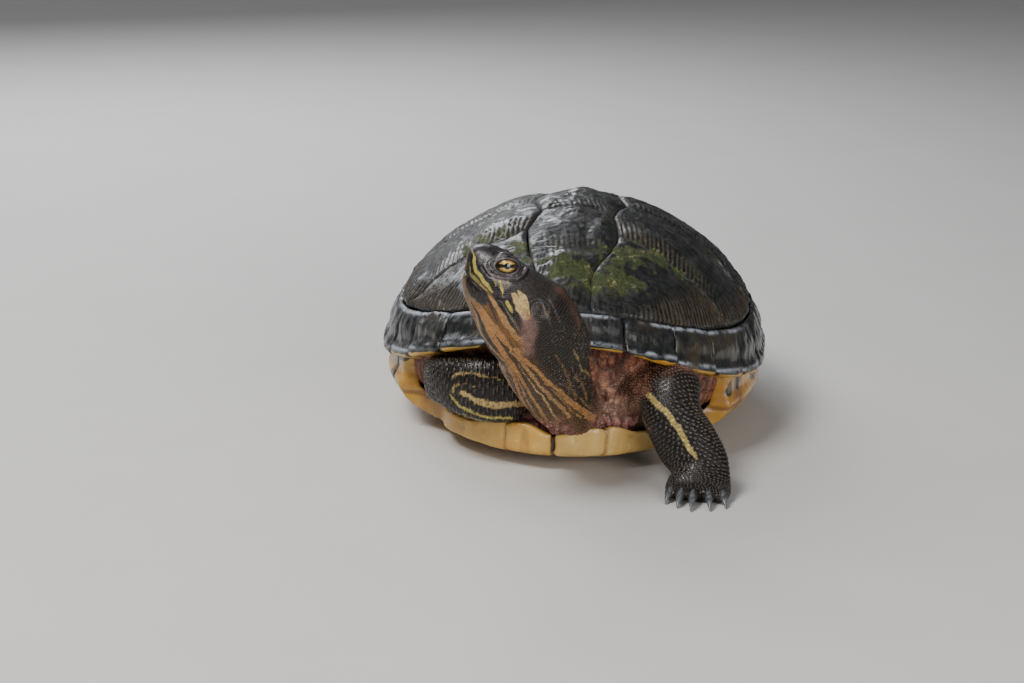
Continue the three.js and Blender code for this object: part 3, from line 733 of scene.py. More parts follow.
def dome_plate(name, node, sides, side, comb, number=None):
    """A plate between four seams; its number is given where it has a keel."""
    across, along = (max(40, int(np.ptp(line, axis=0).max() * 1.15 / GRID_STEP))
                     for line in (sides[0], sides[2]))
    v, u = np.meshgrid(np.linspace(SEAM_GAP, 1 - SEAM_GAP, along + 1),
                       np.linspace(SEAM_GAP, 1 - SEAM_GAP, across + 1), indexing="ij")
    chart = coons(sides, u, v)
    flat = np.dstack([chart, chart[..., :1] * 0])
    for size, reach in ((14.0, 0.9), (4.5, 0.35)):
        chart = chart + reach * drift(flat, size, (0.3, 5.9))
    grid = dome_from_chart(chart * (side, 1))
    height, paint = plate_relief(grid, comb)
    if number is not None:
        height = height + keel(grid, number)
    paint["algae"] = algae_cover(grid)
    return grown_plate(name, node, scute_horn, blank_grid(across, along), grid,
                       height, paint, 2.8)


# How strong the ridges are from the front, rear, near and far seams, and how far they reach
SPINE_COMB = [(0.5, 0.3, 0.3, 0.3), (0.4, 0.3, 0.3, 0.3), (0.5, 0.4, 0.3, 0.3), (0.5, 0.4, 0.3, 0.3),
              (0.5, 0.3, 0.3, 0.3)]
FLANK_COMB = [(0.5, 0.25, 0.3, 1.7, 13.0, 13.0, 13.0, 27.0),
              (1.5, 0.4, 0.4, 1.4, 17.0, 13.0, 13.0, 17.0), (0.8, 0.4, 0.4, 1.1), (0.7, 0.5, 0.4, 1.0)]
SIDES = ((1, "left"), (-1, "right"))
plates = [dome_plate(f"spine_plate_{number}", f"vertebral_{number}", vertebral_sides(number - 1), 1,
                     SPINE_COMB[number - 1], number - 1) for number in range(1, 6)]
plates += [dome_plate(f"flank_plate_{word}_{number}", f"costal_{word}_{number}",
                      costal_sides(number - 1), side, FLANK_COMB[number - 1])
           for number in range(1, 5) for side, word in SIDES]
print("plates:", len(plates), "triangles:", triangles(*plates))

# %% [markdown]
# ## The plates round the edge
# Twelve small plates on each side, and a narrow one over the neck, make the shell's edge. Each
# is bent over the rim, so it has a dark face above and a yellow one below. Its cross-section is
# a short curve of points: down the dome, round the lip and back underneath. The same grid is
# laid along that curve and along the rim, with a shallow gutter above the lip, as sliders have.

# %% Find the marginal seams
NUCHAL_HALF = 4.5
MARGINALS = 12
# Shares of the outline and heights over the rim, round the lip and back underneath
LIP = [(1.004, 1.9), (1.008, 0.3), (1.0, -0.9), (0.978, -1.6), (0.94, -2.4), (0.87, -4.3)]


def marginal_bearings():
    """Where the seams fall, at even steps along half the outline."""
    fine = np.linspace(0, np.pi, 721)
    x, y = outline(fine)
    run = run_of(np.hypot(np.diff(x), np.diff(y)))
    wanted = np.linspace(NUCHAL_HALF, run[-1], MARGINALS + 1)
    return np.interp(wanted, run, fine)


def rim_section(bearing, count):
    """Rows of points from the top seam over the lip to the underside, for each bearing."""
    above = plan_share(np.linspace(chart_share(RING) + 0.006, 0.975, 9))
    rows = [dome_at(np.full_like(bearing, share), bearing) for share in above]
    x, y = outline(bearing)
    for share, drop in LIP:
        rows.append(np.stack([x * share, y * share, rim_height(bearing) + drop], -1))
    rows = np.array(rows)
    run = run_of(np.linalg.norm(np.diff(rows, axis=0), axis=-1).mean(1))
    even = np.linspace(0, run[-1], count)
    grid = np.stack([read_line(row, run, even) for row in rows.swapaxes(0, 1)], 1)
    for _ in range(6):
        grid[1:-1] = (grid[:-2] + 2 * grid[1:-1] + grid[2:]) / 4
    return grid, even / run[-1], run[len(above)] / run[-1]


seams = marginal_bearings()
print("marginal seams, degrees:", np.degrees(seams).round().astype(int).tolist())

# %% [markdown]
# ## Yellow horn
# The undersides of the edge plates and the whole plastron are the colour of old ivory and
# honey, darker where dirt sits in the growth lines. Dark smudges lie over the seams. It is the
# same finish for both, driven by how dirty and how dark each point was worked out to be. On
# the plastron's lip the same numbers also carry painted light: a painted highlight on its left
# half and painted shade on its right.

# %% Yellow horn and edge horn
def yellow_colour(finish):
    """Colour of the yellow horn, and the two noises that roughen it."""
    stain_and_shade, smudge, worn_and_lit = map(finish.painted, ("stain_and_shade", "smudge", "worn_and_lit"))
    broad = finish.noise(24)
    grain = finish.noise(4, 5, 0.65)
    fine = finish.noise(1.1, 4, 0.6)
    gold = finish.mix(broad.ramp(0.35, 0.68), (0.44, 0.215, 0.022), (0.62, 0.38, 0.075))
    # Pale cream of worn horn; on the plastron's lip it is painted paler on the left half as a painted
    # highlight
    gold = finish.mix(worn_and_lit * 0.6, gold, (0.78, 0.55, 0.19))
    rubbed_and_sheen = (grain + fine * 0.4 + worn_and_lit * 0.05).ramp(0.80, 1.04)
    worn = finish.mix(rubbed_and_sheen, gold, (0.76, 0.58, 0.28))
    # Brown of stains in the seams; on the right half of the plastron's lip it is also painted shade
    dirt_and_shade = (stain_and_shade + (grain - 0.5) * 0.9).ramp(0.25, 0.95)
    brown = finish.mix(dirt_and_shade * 0.85, worn, (0.19, 0.085, 0.022))
    blots = (smudge + (grain - 0.5) * 0.75).ramp(0.4, 0.62)
    dark = finish.mix(blots * 0.94, brown, (0.022, 0.02, 0.014))
    return dark, grain, fine


def edge_horn():
    finish = Finish("edge_horn", Specular_IOR_Level=0.3, Coat_Roughness=0.14, Coat_IOR=1.33)
    yellow, grain, fine = yellow_colour(finish)
    under, edge, lip, crest = map(finish.painted, ("under", "edge", "lip", "crest"))
    broad = finish.noise(22)
    black = finish.mix(grain.ramp(0.35, 0.7), (0.007, 0.0075, 0.008), (0.024, 0.025, 0.023))
    brown = finish.mix(broad.ramp(0.5, 0.72) * 0.6, black, (0.06, 0.042, 0.018))
    pale = finish.mix(fine.ramp(0.4, 0.65), (0.07, 0.078, 0.085), (0.19, 0.2, 0.2))
    scuffed = (lip * 0.9 + edge * 0.25 + (grain - 0.5) * 1.2).ramp(0.55, 1.1)
    upper = finish.mix(scuffed * 0.5, brown, pale)
    # Painted highlight: a pale bluish shine painted along the crest below the upper seam and just above the
    # lip
    rubbed_and_sheen = crest * (grain + fine * 0.4).ramp(0.5, 0.72)
    upper = finish.mix(rubbed_and_sheen * 0.85, upper, (0.36, 0.40, 0.47))
    split = (under + (grain - 0.5) * 0.25).ramp(0.42, 0.58)
    finish.set(Base_Color=finish.mix(split, upper, yellow),
               Roughness=grain.ramp(0.3, 0.75) * 0.25 + 0.27 + split * 0.12 + scuffed * 0.12,
               Coat_Weight=broad.ramp(0.35, 0.6) * 0.6)
    finish.bump(grain * 0.6 + fine * 0.3, 0.6)
    return finish.material


rim_horn = edge_horn()
print("finish:", rim_horn.name)

# %% Make the edge plates
EDGE_ROWS = 62
EDGE_STEP = 0.62


def edge_plate(name, node, start, end, side):
    """A plate between two bearings, bent over the rim."""
    across = max(20, int((end - start) * 100 / EDGE_STEP))
    slim = (end - start) * 0.006
    bearing = np.linspace(start + slim, end - slim, across + 1) * side
    grid, share, lip_at = rim_section(bearing, EDGE_ROWS + 1)
    run, _, near, far = lines_of(grid)
    seam = np.minimum(near, far)
    past = run - np.interp(lip_at, share, run.mean(1))
    above = ease(-past, -0.5, 3.0)
    gutter = -1.15 * bell(past + 6.2, 3.6) + 0.75 * bell(past + 0.6, 1.9)
    swell = 0.7 * (1 - np.exp(-seam / 5.0)) - 0.35
    uneven = 0.75 + 0.3 * lumps(grid, 2.6, 1.2)
    roll = -0.95 * np.exp(-((seam / uneven) ** 1.5)) - 1.0 * np.exp(-((run / uneven) ** 1.5))
    ridge = sharp(waves(near, 2.2, lumps(grid, 8.0))) * above
    rings = waves(seam, 1.8, lumps(grid, 9.0)) * np.exp(-seam / 4.0) * ease(seam, 0.5, 1.5)
    soft = 0.6 * lumps(grid, 12.0, 2.0) + 0.4 * lumps(grid, 4.5, 8.0)
    soft = soft + 0.29 * creased(grid * (1, 1, 0.7), 4.4, 5.0) * above
    tooth = ease(np.degrees(abs((start + end) / 2)), 115, 150)
    flared = tooth * 1.1 * bell(past, 5.0) * (1 - np.exp(-seam / 4.0))
    height = gutter * above + swell + roll + 0.07 * ridge + 0.1 * rings + soft + flared
    # Where the painted highlight of the wet crest lies, on the front plates only
    crest = np.maximum(bell(run - 1.6, 0.9), bell(past + 0.9, 0.8)) * ease(lumps(grid, 7.0, 5.5), -0.5, 0.2)
    paint = {
        "edge": np.exp(-np.minimum(seam, run) / 1.3),
        "lip": bell(past - 0.1, 1.3),
        "worn_and_lit": past * 0,
        "crest": crest * ease(grid[..., 1], -20.0, -60.0),
        "under": ease(past + 0.5 * lumps(grid, 5.0, 3.0), 0.5, 2.4),
        "stain_and_shade": 0.25 + 0.5 * np.exp(-seam / 1.2) + 0.3 * ease(past, 3.0, 9.0),
        "smudge": bell(seam + 1.6 * lumps(grid, 6.0, 4.0), 4.2) * ease(past, -1.0, 2.5),
    }
    return grown_plate(name, node, rim_horn, blank_grid(across, EDGE_ROWS), grid,
                       height, paint, 1.6)


edge_plates = [edge_plate("nuchal_plate", "nuchal", -seams[0], seams[0], 1)]
edge_plates += [edge_plate(f"edge_plate_{word}_{number:02d}", f"marginal_{word}_{number:02d}",
                           seams[number - 1], seams[number], side)
                for number in range(1, MARGINALS + 1) for side, word in SIDES]
print("edge plates:", len(edge_plates), "triangles:", triangles(*edge_plates))

# %% [markdown]
# ## The plastron
# The plastron is one broad slab with a rounded lobe in front, one behind, and a bridge on each
# side that climbs to the carapace. A slab like this is easier to carve than to grow: a bowl is
# lofted from rings, a smaller bowl is taken out of it, and the plan of the lobes is cut out
# with boolean modifiers. Remeshing it into small even squares then lets its edges be worn round
# by smoothing, and its seams pressed in.

# %% Loft, carve and remesh
def loft(rings):
    """A closed body through rings that all have the same number of points."""
    bm = bmesh.new()
    loops = []
    for ring in rings:
        made = bmesh.ops.create_circle(bm, segments=len(ring), radius=1)["verts"]
        for vert, place in zip(made, ring):
            vert.co = place
        loops.append({edge for vert in made for edge in vert.link_edges})
    for first, second in zip(loops, loops[1:]):
        bmesh.ops.bridge_loops(bm, edges=list(first | second))
    open_edges = [edge for edge in bm.edges if edge.is_boundary]
    bmesh.ops.holes_fill(bm, edges=open_edges, sides=0)
    bmesh.ops.recalc_face_normals(bm, faces=bm.faces)
    return bm


def block(low, high):
    bm = bmesh.new()
    bmesh.ops.create_cube(bm, size=1)
    bmesh.ops.scale(bm, vec=Vector(high) - Vector(low), verts=bm.verts)
    bmesh.ops.translate(bm, vec=(Vector(high) + Vector(low)) / 2, verts=bm.verts)
    return bm


def slab(points, low, high):
    """A flat outline pulled straight up."""
    bm = bmesh.new()
    face = bm.faces.new([bm.verts.new((x, y, low)) for x, y in points])
    top = bmesh.ops.extrude_face_region(bm, geom=[face])["geom"]
    bmesh.ops.translate(bm, verts=verts_of(top), vec=(0, 0, high - low))
    bmesh.ops.recalc_face_normals(bm, faces=bm.faces)
    return bm


def draft(bm):
    """A scratch object, not part of the turtle until it is finished."""
    return linked("draft", mesh_of(bm, "draft"))


def settled(body):
    """The object's mesh with its modifiers worked in, as a bmesh; the object goes."""
    view = bpy.context.evaluated_depsgraph_get()
    mesh = bpy.data.meshes.new_from_object(body.evaluated_get(view))
    bm = bmesh.new()
    bm.from_mesh(mesh)
    bpy.data.objects.remove(body)
    bpy.data.meshes.remove(mesh)
    return bm


def carve(bm, operation, cutters):
    body = draft(bm)
    tools = [draft(cutter) for cutter in cutters]
    for tool in tools:
        cut = body.modifiers.new("carve", "BOOLEAN")
        cut.operation = operation
        cut.solver = "EXACT"
        cut.object = tool
    carved = settled(body)
    for tool in tools:
        bpy.data.objects.remove(tool)
    return carved


def remesh(bm, voxel, smoothing):
    body = draft(bm)
    squares = body.modifiers.new("squares", "REMESH")
    squares.mode = "VOXEL"
    squares.voxel_size = voxel
    wear = body.modifiers.new("wear", "SMOOTH")
    wear.factor = 0.5
    wear.iterations = smoothing
    return settled(body)


def bowl(inset, lid, count=96):
    """The bowl of the shell, or a smaller one inside it, up to a flat lid."""
    half = (BOWL_HALF[0] - inset, BOWL_HALF[1] - inset)
    bearing = np.linspace(0, 2 * np.pi, count, endpoint=False)
    x, y = outline(bearing, half)
    rings = [np.stack([x, y, x * 0 + lid], -1)]
    for angle in np.radians(np.linspace(90, 6, 22)):
        out = np.sin(angle) ** (2 / BOWL_POWER)
        drop = np.cos(angle) ** (2 / BOWL_POWER)
        z = (bowl_edge(bearing) + BOWL_SINK) * (1 - drop) - BOWL_SINK + inset
        rings.append(np.stack([x * out, y * out, z], -1))
    return loft(rings)


def plastron_plan():
    """Its outline, from the notch in front round the left side to the notch behind."""
    quarter = np.radians(np.linspace(0, 90, 24))
    lobe = lambda start, end, width: np.stack([
        width * np.sin(quarter) ** 1.25, start + (end - start) * np.cos(quarter) ** 1.25], -1)
    front = lobe(78, 114, 56) * (1, -1)
    rear = lobe(74, 112, 54)[::-1]
    side = [(58, -68), (64, -63.5), (72, -60.5), (190, -60), (190, 60), (70, 60.5), (62, 63), (56, 67)]
    front[:5, 1] += 2.2 * (1 - np.arange(5) / 5) ** 2
    half = [tuple(p) for p in front] + side + [tuple(p) for p in rear[:-3]] + [(8, 112.5), (0, 104)]
    return half + [(-x, y) for x, y in half[-2:0:-1]]


shell = carve(bowl(0, 60), "DIFFERENCE", [
    bowl(7, 90), block((-150, -150, 18), (150, -72, 99)), block((-150, 69, 16), (150, 150, 99)),
    block((-150, -150, -9), (150, 150, 0)),
])
shell = carve(shell, "INTERSECT", [slab(plastron_plan(), -1, 38)])
shell = remesh(shell, 1.0, 4)
print("plastron carved:", len(shell.verts), "corners")

# %% [markdown]
# Six pairs of plates cover the plastron. Their seams are lines on the plan, so the distance
# from the nearest line gives both the groove and the brown that gathers in it. The lip in
# front is worn pale and nicked, curls up on both sides and has a notch in its middle. Its
# left half is painted paler still, as a painted highlight, and its right half is mottled
# darker, partly as painted shade.

# %% Press in the seams of the plastron
PLASTRON_SEAMS = [
    [(0, -118), (0, 110)], [(0, -97), (10, -99), (24, -108), (32, -116)],
    [(0, -72), (22, -76), (44, -74), (60, -64)], [(0, -42), (30, -38), (62, -46), (97, -50)],
    [(0, 22), (34, 26), (66, 34), (97, 40)], [(0, 58), (24, 62), (44, 74), (54, 84)],
    [(0, 76), (14, 84), (26, 98), (32, 108)], [(70, -60), (78, -20), (80, 10), (74, 60)],
]


def from_segment(points, start, end):
    """Offsets of points from the nearest place of a straight stretch."""
    way = end - start
    part = np.clip((points - start) @ way / (way @ way + 1e-9), 0, 1)
    return points - start - part[:, None] * way


def seam_distance(points):
    """Distance on the plan from the nearest seam, the same on both sides."""
    flat = np.abs(points[:, :2] * (1, 0)) + points[:, :2] * (0, 1)
    gaps = [from_segment(flat, np.array(start, float), np.array(end, float))
            for seam in PLASTRON_SEAMS for start, end in zip(seam, seam[1:])]
    return np.linalg.norm(gaps, axis=-1).min(0)


points, normals = corners_of(shell)
x, y, z = points.T
aside = np.abs(x)
gap = seam_distance(points + 1.3 * np.pad(drift(points, 15.0, (1.0, 6.0)), ((0, 0), (0, 1))))
rings = waves(gap, 2.6, lumps(points, 9.0)) * np.exp(-gap / 8) * 0.07
ledge = z - 20.0 - 1.5 * lumps(points, 20.0, 3.0)
dent = -0.75 * np.exp(-((gap / 0.9) ** 1.6)) - 0.7 * (aside > 62) * bell(ledge, 0.9)
dent = dent + rings + 0.22 * lumps(points, 9.0, 3.0)
lip = ease(y, -84.0, -98.0) * ease(z, 4.0, 8.0)
nicks = -0.8 * ease(lumps(points, 3.5, 2.0), 0.35, 0.8) * lip
middle = x + 0.5 * lumps(points, 4.0, 7.0)
curl = ease(aside, 1.5, 14.0) * ease(aside, 46.0, 27.0) * (1 - 0.25 * bell(gap, 2.0))
curl *= ease(z, 8.5, 15.0) * ease(y, -95.0, -105.0)
dent = (dent + nicks - 1.7 * bell(middle, 0.8) * lip) * (0.35 + 0.65 * ease(z, 0.2, 1.2))
moved = points + normals * dent[:, None]
moved[:, 2] += 4.0 * curl
moved[:, :2] *= 1 - 0.035 * ease(moved[:, 2:], 22.0, 29.0)
moved[:, 2] = np.maximum(moved[:, 2], 0.0)
place_corners(shell, moved)
print("plastron: grooves to", round(float(dent.min()), 2), "mm, lip raised by", round(4 * curl.max(), 1))

# %% Stain the plastron
blot = ease(lumps(points, 21.0, 4.0) + 0.35 * lumps(points, 6.0, 5.0), 0.2, 0.75)
bridge_blot = ease(lumps(points * (1, 1, 1.6), 13.0, 2.5), 0.05, 0.5) * ease(z, 15.0, 24.0)
right_half = ease(x, 5.0, -5.0)
# On the lip, the pale wear is painted paler on the turtle's left half as a painted highlight, and the right
# half gets darker mottles, partly painted shade
wear_and_light_paint = {
    "stain_and_shade": 0.2 + 0.85 * np.exp(-((gap / 1.3) ** 1.2)) + 0.3 * ease(z, 12, 28)
    + 0.5 * ease(lumps(points, 16.0, 8.0), 0.0, 0.8) + 0.9 * (aside > 62) * bell(ledge, 0.8)
    - 0.25 * lip + 0.6 * lip * right_half * ease(lumps(points, 6.5, 11.0), 0.1, 0.6),
    "smudge": blot * (1 - ease(y, -80.0, -95.0)) * 0.9
    + ease(z, 24, 31) * bell(gap + 2.0 * lumps(points, 7.0, 1.0), 4.0)
    + 0.9 * bridge_blot * (aside > 60) + 0.8 * bell(middle, 0.9) * lip,
    "worn_and_lit": lip * (1 - 0.75 * right_half) * (0.8 + 0.4 * lumps(points, 5.0, 6.0)),
}


def plain_yellow_horn():
    finish = Finish("plastron_horn", Specular_IOR_Level=0.5, Coat_Roughness=0.2, Coat_Weight=0.35)
    colour, grain, fine = yellow_colour(finish)
    finish.set(Base_Color=colour, Roughness=grain.ramp(0.3, 0.75) * 0.2 + 0.3)
    finish.bump(grain * 0.6 + fine * 0.35, 0.3)
    return finish.material


plastron = finish_piece(shell, "plastron_plates", plain_yellow_horn(), wear_and_light_paint, ["plastron"])
print("plastron:", triangles(plastron), "triangles")

# %% [markdown]
# ## The flesh
# Neck, head, limbs and tail are round bodies: at a handful of stations a centre, a height and a
# width are known, and smooth curves run through them. The stations are those of the solids, so
# the skin lies where they are, only a third of a millimetre lower, to leave room for scales.
# Here the curves are followed far more finely than the solids could.

# %% Curves through stations
SKIN_DEPTH = 0.3


def curve_at(values, share):
    """A Catmull-Rom curve through rows of numbers, read at shares from 0 to 1."""
    values = np.asarray(values, float)
    ends = np.vstack([2 * values[0] - values[1], values, 2 * values[-1] - values[-2]])
    place = np.clip(np.asarray(share, float), 0, 1) * (len(values) - 1)
    first = np.minimum(place.astype(int), len(values) - 2)
    t = (place - first)[..., None]
    a, b, c, d = (ends[first + i] for i in range(4))
    slope_b, slope_c = (c - a) / 2, (d - b) / 2
    return (b * (2 * t**3 - 3 * t**2 + 1) + slope_b * (t**3 - 2 * t**2 + t)
            + c * (3 * t**2 - 2 * t**3) + slope_c * (t**3 - t**2))


def tangents(centres):
    share = np.linspace(0, 1, len(centres))
    return unit(curve_at(centres, share + 1e-3) - curve_at(centres, share - 1e-3))


def square_to(vector, along):
    """The part of a direction that is square to another, of length 1."""
    return unit(vector - np.sum(vector * along, -1, keepdims=True) * along)


ROUND = (2.0, 0.0)


def limb_stations(rows, across=((1, 0, 0.1),)):
    """Centre, up and side half-axes of a limb's sections, and their power and narrowing."""
    rows = np.asarray(rows, float)
    along = tangents(rows[:, :3])
    side = square_to(unit([across[min(i, len(across) - 1)] for i in range(len(rows))]), along)
    lift = unit(np.cross(along, side))
    form = np.tile(ROUND, (len(rows), 1))
    return np.hstack([rows[:, :3], lift * rows[:, 4:5], side * rows[:, 3:4], form])


def body_rings(stations, steps, facets, grow=-SKIN_DEPTH):
    """Sections of a round body: an array of steps + 1 rings of points."""
    row = curve_at(stations, np.linspace(0, 1, steps + 1))
    centre, lift, side, form = row[:, :3], row[:, 3:6], row[:, 6:9], row[:, 9:]
    lift = lift + unit(lift) * grow
    side = side + unit(side) * grow
    turn = np.linspace(0, 2 * np.pi, facets, endpoint=False)
    power = 2 / form[:, :1]
    rise = signed_power(np.sin(turn)[None], power)
    out = signed_power(np.cos(turn)[None], power) * (1 - form[:, 1:] * np.maximum(0, -rise))
    return (centre[:, None] + lift[:, None] * rise[..., None] + side[:, None] * out[..., None])


# %% Head and neck stations
HEAD_AT = np.array((-21.2, -158.7, 110.2))
turned, pitched = np.radians(84.8), np.radians(38.8)
AHEAD = np.array((-np.sin(turned) * np.cos(pitched), -np.cos(turned) * np.cos(pitched), np.sin(pitched)))
LEFT = np.cross((0, 0, 1), AHEAD) / np.cos(pitched)
LEFT = np.array(Quaternion(AHEAD, math.radians(10)) @ Vector(LEFT))
CROWN = np.cross(AHEAD, LEFT)
HEAD_AXES = np.stack([AHEAD, CROWN, LEFT])


def in_head(points):
    """Points seen from the head: ahead, towards the crown and to the left of the eyes' middle."""
    return (np.asarray(points) - HEAD_AT) @ HEAD_AXES.T


def from_head(points):
    return HEAD_AT + np.asarray(points) @ HEAD_AXES


NECK = [
    ((13, -78, 22), 30, 16, 15), ((8.8, -97, 25.5), 31, 15.5, 15), ((3.6, -114, 37), 32, 16, 14.8),
    ((0.3, -131, 50.5), 36, 17.8, 15.5), ((-1.7, -144, 61.7), 40, 19.7, 16.5),
    ((-2.9, -152.5, 71.4), 45.5, 21.4, 17.4),
]
SKULL = [
    (-29, 8.6, -35, 18, 2.1, 0.1),
    (-21.7, 8.2, -34, 18.4, 2.3, 0.2),
    (-13, 6.8, -31.5, 17.6, 2.5, 0.3),
    (-6, 5.7, -28, 15.8, 2.7, 0.36),
    (1.4, 5.2, -24.3, 14.2, 2.8, 0.38),
    (6.5, 4.3, -21.3, 11.4, 2.7, 0.38),
    (9.6, 3.2, -18.2, 9.3, 2.5, 0.36),
    (12.4, 1.3, -12.8, 7, 2.4, 0.3),
    (14.7, -1.1, -9, 4.7, 2.2, 0.2),
    (15.7, -3.2, -6.5, 2, 2, 0),
]


def neck_and_head_stations():
    """Centre, lean, half depth and half width of the neck; then the skull's, seen from it."""
    centres, lean, deep, wide = (np.array(column, float) for column in zip(*NECK))
    along = tangents(centres)
    lean = np.radians(lean)
    lift = square_to(np.stack([np.cos(lean), lean * 0, np.sin(lean)], -1), along)
    side = unit(np.cross(lift, along))
    form = np.tile(ROUND, (len(NECK), 1))
    neck = np.hstack([centres, lift * deep[:, None], side * wide[:, None], form])
    rows = []
    for forward, crown, throat, half_width, power, narrow in SKULL:
        centre = from_head((forward, (crown + throat) / 2, 0))
        rows.append(np.hstack([centre, CROWN * (crown - throat) / 2, LEFT * half_width, power, narrow]))
    return np.vstack([neck, rows])


LEFT_ARM = dict(
    rows=[(34, -82, 34, 15, 13), (45, -96, 40, 16, 13), (53.5, -107, 40.5, 15.5, 12),
          (55, -115, 32.5, 14, 9.5), (62.8, -122, 21.5, 14.5, 8.2), (69.2, -127, 13.5, 13.6, 7.2),
          (69.8, -132.5, 7.8, 14.4, 6.2), (69.2, -138, 4.1, 15.2, 4.8), (69, -143, 3, 13.8, 3.6)],
    across=[(0.8, 0, 0.5), (0.8, 0, 0.5), (0.85, 0, 0.5), (0.83, 0.2, 0.55), (0.85, 0.1, 0.5),
            (0.95, 0, 0.25), (1, 0, 0)],
    toes=[((60, -134, 6), (56.8, -141, 3.4), (55.2, -149, 0.6)),
          ((63, -137, 6), (61.6, -144.5, 3.8), (60.7, -153.5, 0.6)),
          ((67.5, -138, 6), (67.2, -146.5, 4), (67, -157, 0.6)),
          ((73, -137, 6), (74.4, -145, 3.8), (75.6, -154.5, 0.6)),
          ((77.5, -134, 6), (80.6, -141.5, 3.4), (82.6, -149.5, 0.6))],
)
RIGHT_ARM = dict(
    rows=[(-14, -93, 37, 14, 11), (-21, -106.5, 37.5, 16, 9.5), (-34, -109, 37.5, 16.3, 9),
          (-46, -106, 37.5, 14, 8.3), (-54.5, -99, 37, 11.5, 7), (-59.5, -90, 35, 10.5, 5.5),
          (-61.5, -82, 33, 9, 3.5)],
    across=[(0, 0, 1)],
    toes=[((-60, -88, 42), (-62, -81, 41.5), (-61.5, -74.5, 38.5)),
          ((-60.5, -88, 37), (-62.6, -79.5, 36.5), (-62, -72.5, 34)),
          ((-60.5, -88, 33), (-62.6, -79.5, 31.5), (-62, -72.5, 29)),
          ((-60, -88, 29), (-62, -81, 27), (-61.5, -74.5, 24.5))],
)
LEFT_LEG = dict(
    rows=[(46, 70, 26, 16, 13.5), (66, 72, 20, 13, 11), (71, 81, 13.5, 10.5, 9),
          (71, 91, 8.2, 9.5, 7.5), (73, 99, 5, 11, 5.6), (77, 106, 3.6, 12.5, 4.4),
          (80, 110, 2.8, 11.5, 3.2)],
    across=[(0, 0.4, 1), (0.5, 0.5, 0.7), (1, -0.4, 0.2), (1, -0.6, 0)],
    toes=[((69, 104, 4), (70.5, 111, 3.2), (73, 117.5, 0.6)),
          ((74, 106.5, 4), (77, 113, 3.4), (81, 119.5, 0.6)),
          ((78.5, 105.5, 4), (83, 110.5, 3.4), (88.5, 115, 0.6)),
          ((82, 102, 4), (87, 105.5, 3.2), (92.5, 108, 0.6))],
)


def flip_limb(limb):
    turn = lambda rows: [(-row[0], *row[1:]) for row in rows]
    return dict(rows=turn(limb["rows"]), across=turn(limb["across"]),
                toes=[turn(toe) for toe in limb["toes"]])


LIMBS = dict(arm_left=LEFT_ARM, arm_right=RIGHT_ARM, leg_left=LEFT_LEG, leg_right=flip_limb(LEFT_LEG))
# Half height before half depth, as the fold of skin in the pocket stands on edge.
FOLD = [(14, -84, 24, 14, 10), (30, -95, 27, 15, 12), (46, -90, 28, 14, 14), (62, -80, 27.5, 16, 13),
        (76, -66, 28.5, 16, 12), (82, -50, 29, 14, 9)]
HIP_FOLD = [(38, 78, 25, 13, 10), (52, 74, 25, 15, 12), (66, 68, 26, 16, 12), (78, 58, 28, 15, 11),
            (84, 46, 29, 12, 9)]
TAIL = [(0, 97, 25, 10.5, 9), (1, 105, 21.5, 9, 8), (4, 116, 14, 7, 6.3), (9, 128, 7, 5, 4.6),
        (16, 138, 3, 3.4, 3.2), (24, 146, 1.4, 1.8, 1.7)]
print("limbs:", sorted(LIMBS))

# %% [markdown]
# The trunk fills the space between the carapace and the plastron. Only its front and back can
# be seen, in the pockets round the neck and the legs, so its top is left low under the dome.
# Folds of loose skin stand in those pockets, pulled in wherever they would touch the shell.

# %% Loft every body of flesh
def trunk_rings():
    bearing = np.linspace(0, 2 * np.pi, 96, endpoint=False)
    low = np.stack(outline(bearing, (52, 104)), -1)
    wide = np.stack(outline(bearing), -1)
    rings = [np.column_stack([low, bearing * 0 + 7.8])]
    for share in np.linspace(0, 1, 12):
        flat = low + (wide * 0.9 - low) * share**1.6
        z = 20 + (rim_height(bearing) - 23) * share
        rings.append(np.column_stack([flat, z]))
    for share, rise in ((0.885, 1.0), (0.85, 4.5), (0.78, 7.0)):
        rings.append(np.column_stack([wide * share, rim_height(bearing) + rise]))
    return rings


SHELL_WALL = 7.7


def kept_in_shell(points):
    """Pulls points in until they lie inside the shell's hollow."""
    half = (BOWL_HALF[0] - SHELL_WALL, BOWL_HALF[1] - SHELL_WALL)
    share, bearing = polar(points[..., 0], points[..., 1], half)
    climb = (points[..., 2] - SHELL_WALL + BOWL_SINK) / (bowl_edge(bearing) + BOWL_SINK)
    room = (1 - (1 - np.clip(climb, 0.02, 1)) ** BOWL_POWER) ** (1 / BOWL_POWER)
    under_rim = polar(points[..., 0], points[..., 1])[0]
    shrink = np.minimum(1, np.minimum(room / share, 0.905 / under_rim))
    return points * np.stack([shrink, shrink, shrink * 0 + 1], -1)


def toe_stations(toe):
    root, knuckle, tip = np.array(toe, float)
    bend = (knuckle + tip) / 2 + (0, 0, 1.2)
    end = knuckle + (bend - knuckle) * 0.75
    past = knuckle + (bend - knuckle) * 0.95
    rows = [(*root, 3.1, 3.1), (*knuckle, 2.6, 2.4), (*end, 1.9, 1.8), (*past, 0.9, 0.9)]
    return limb_stations(rows)


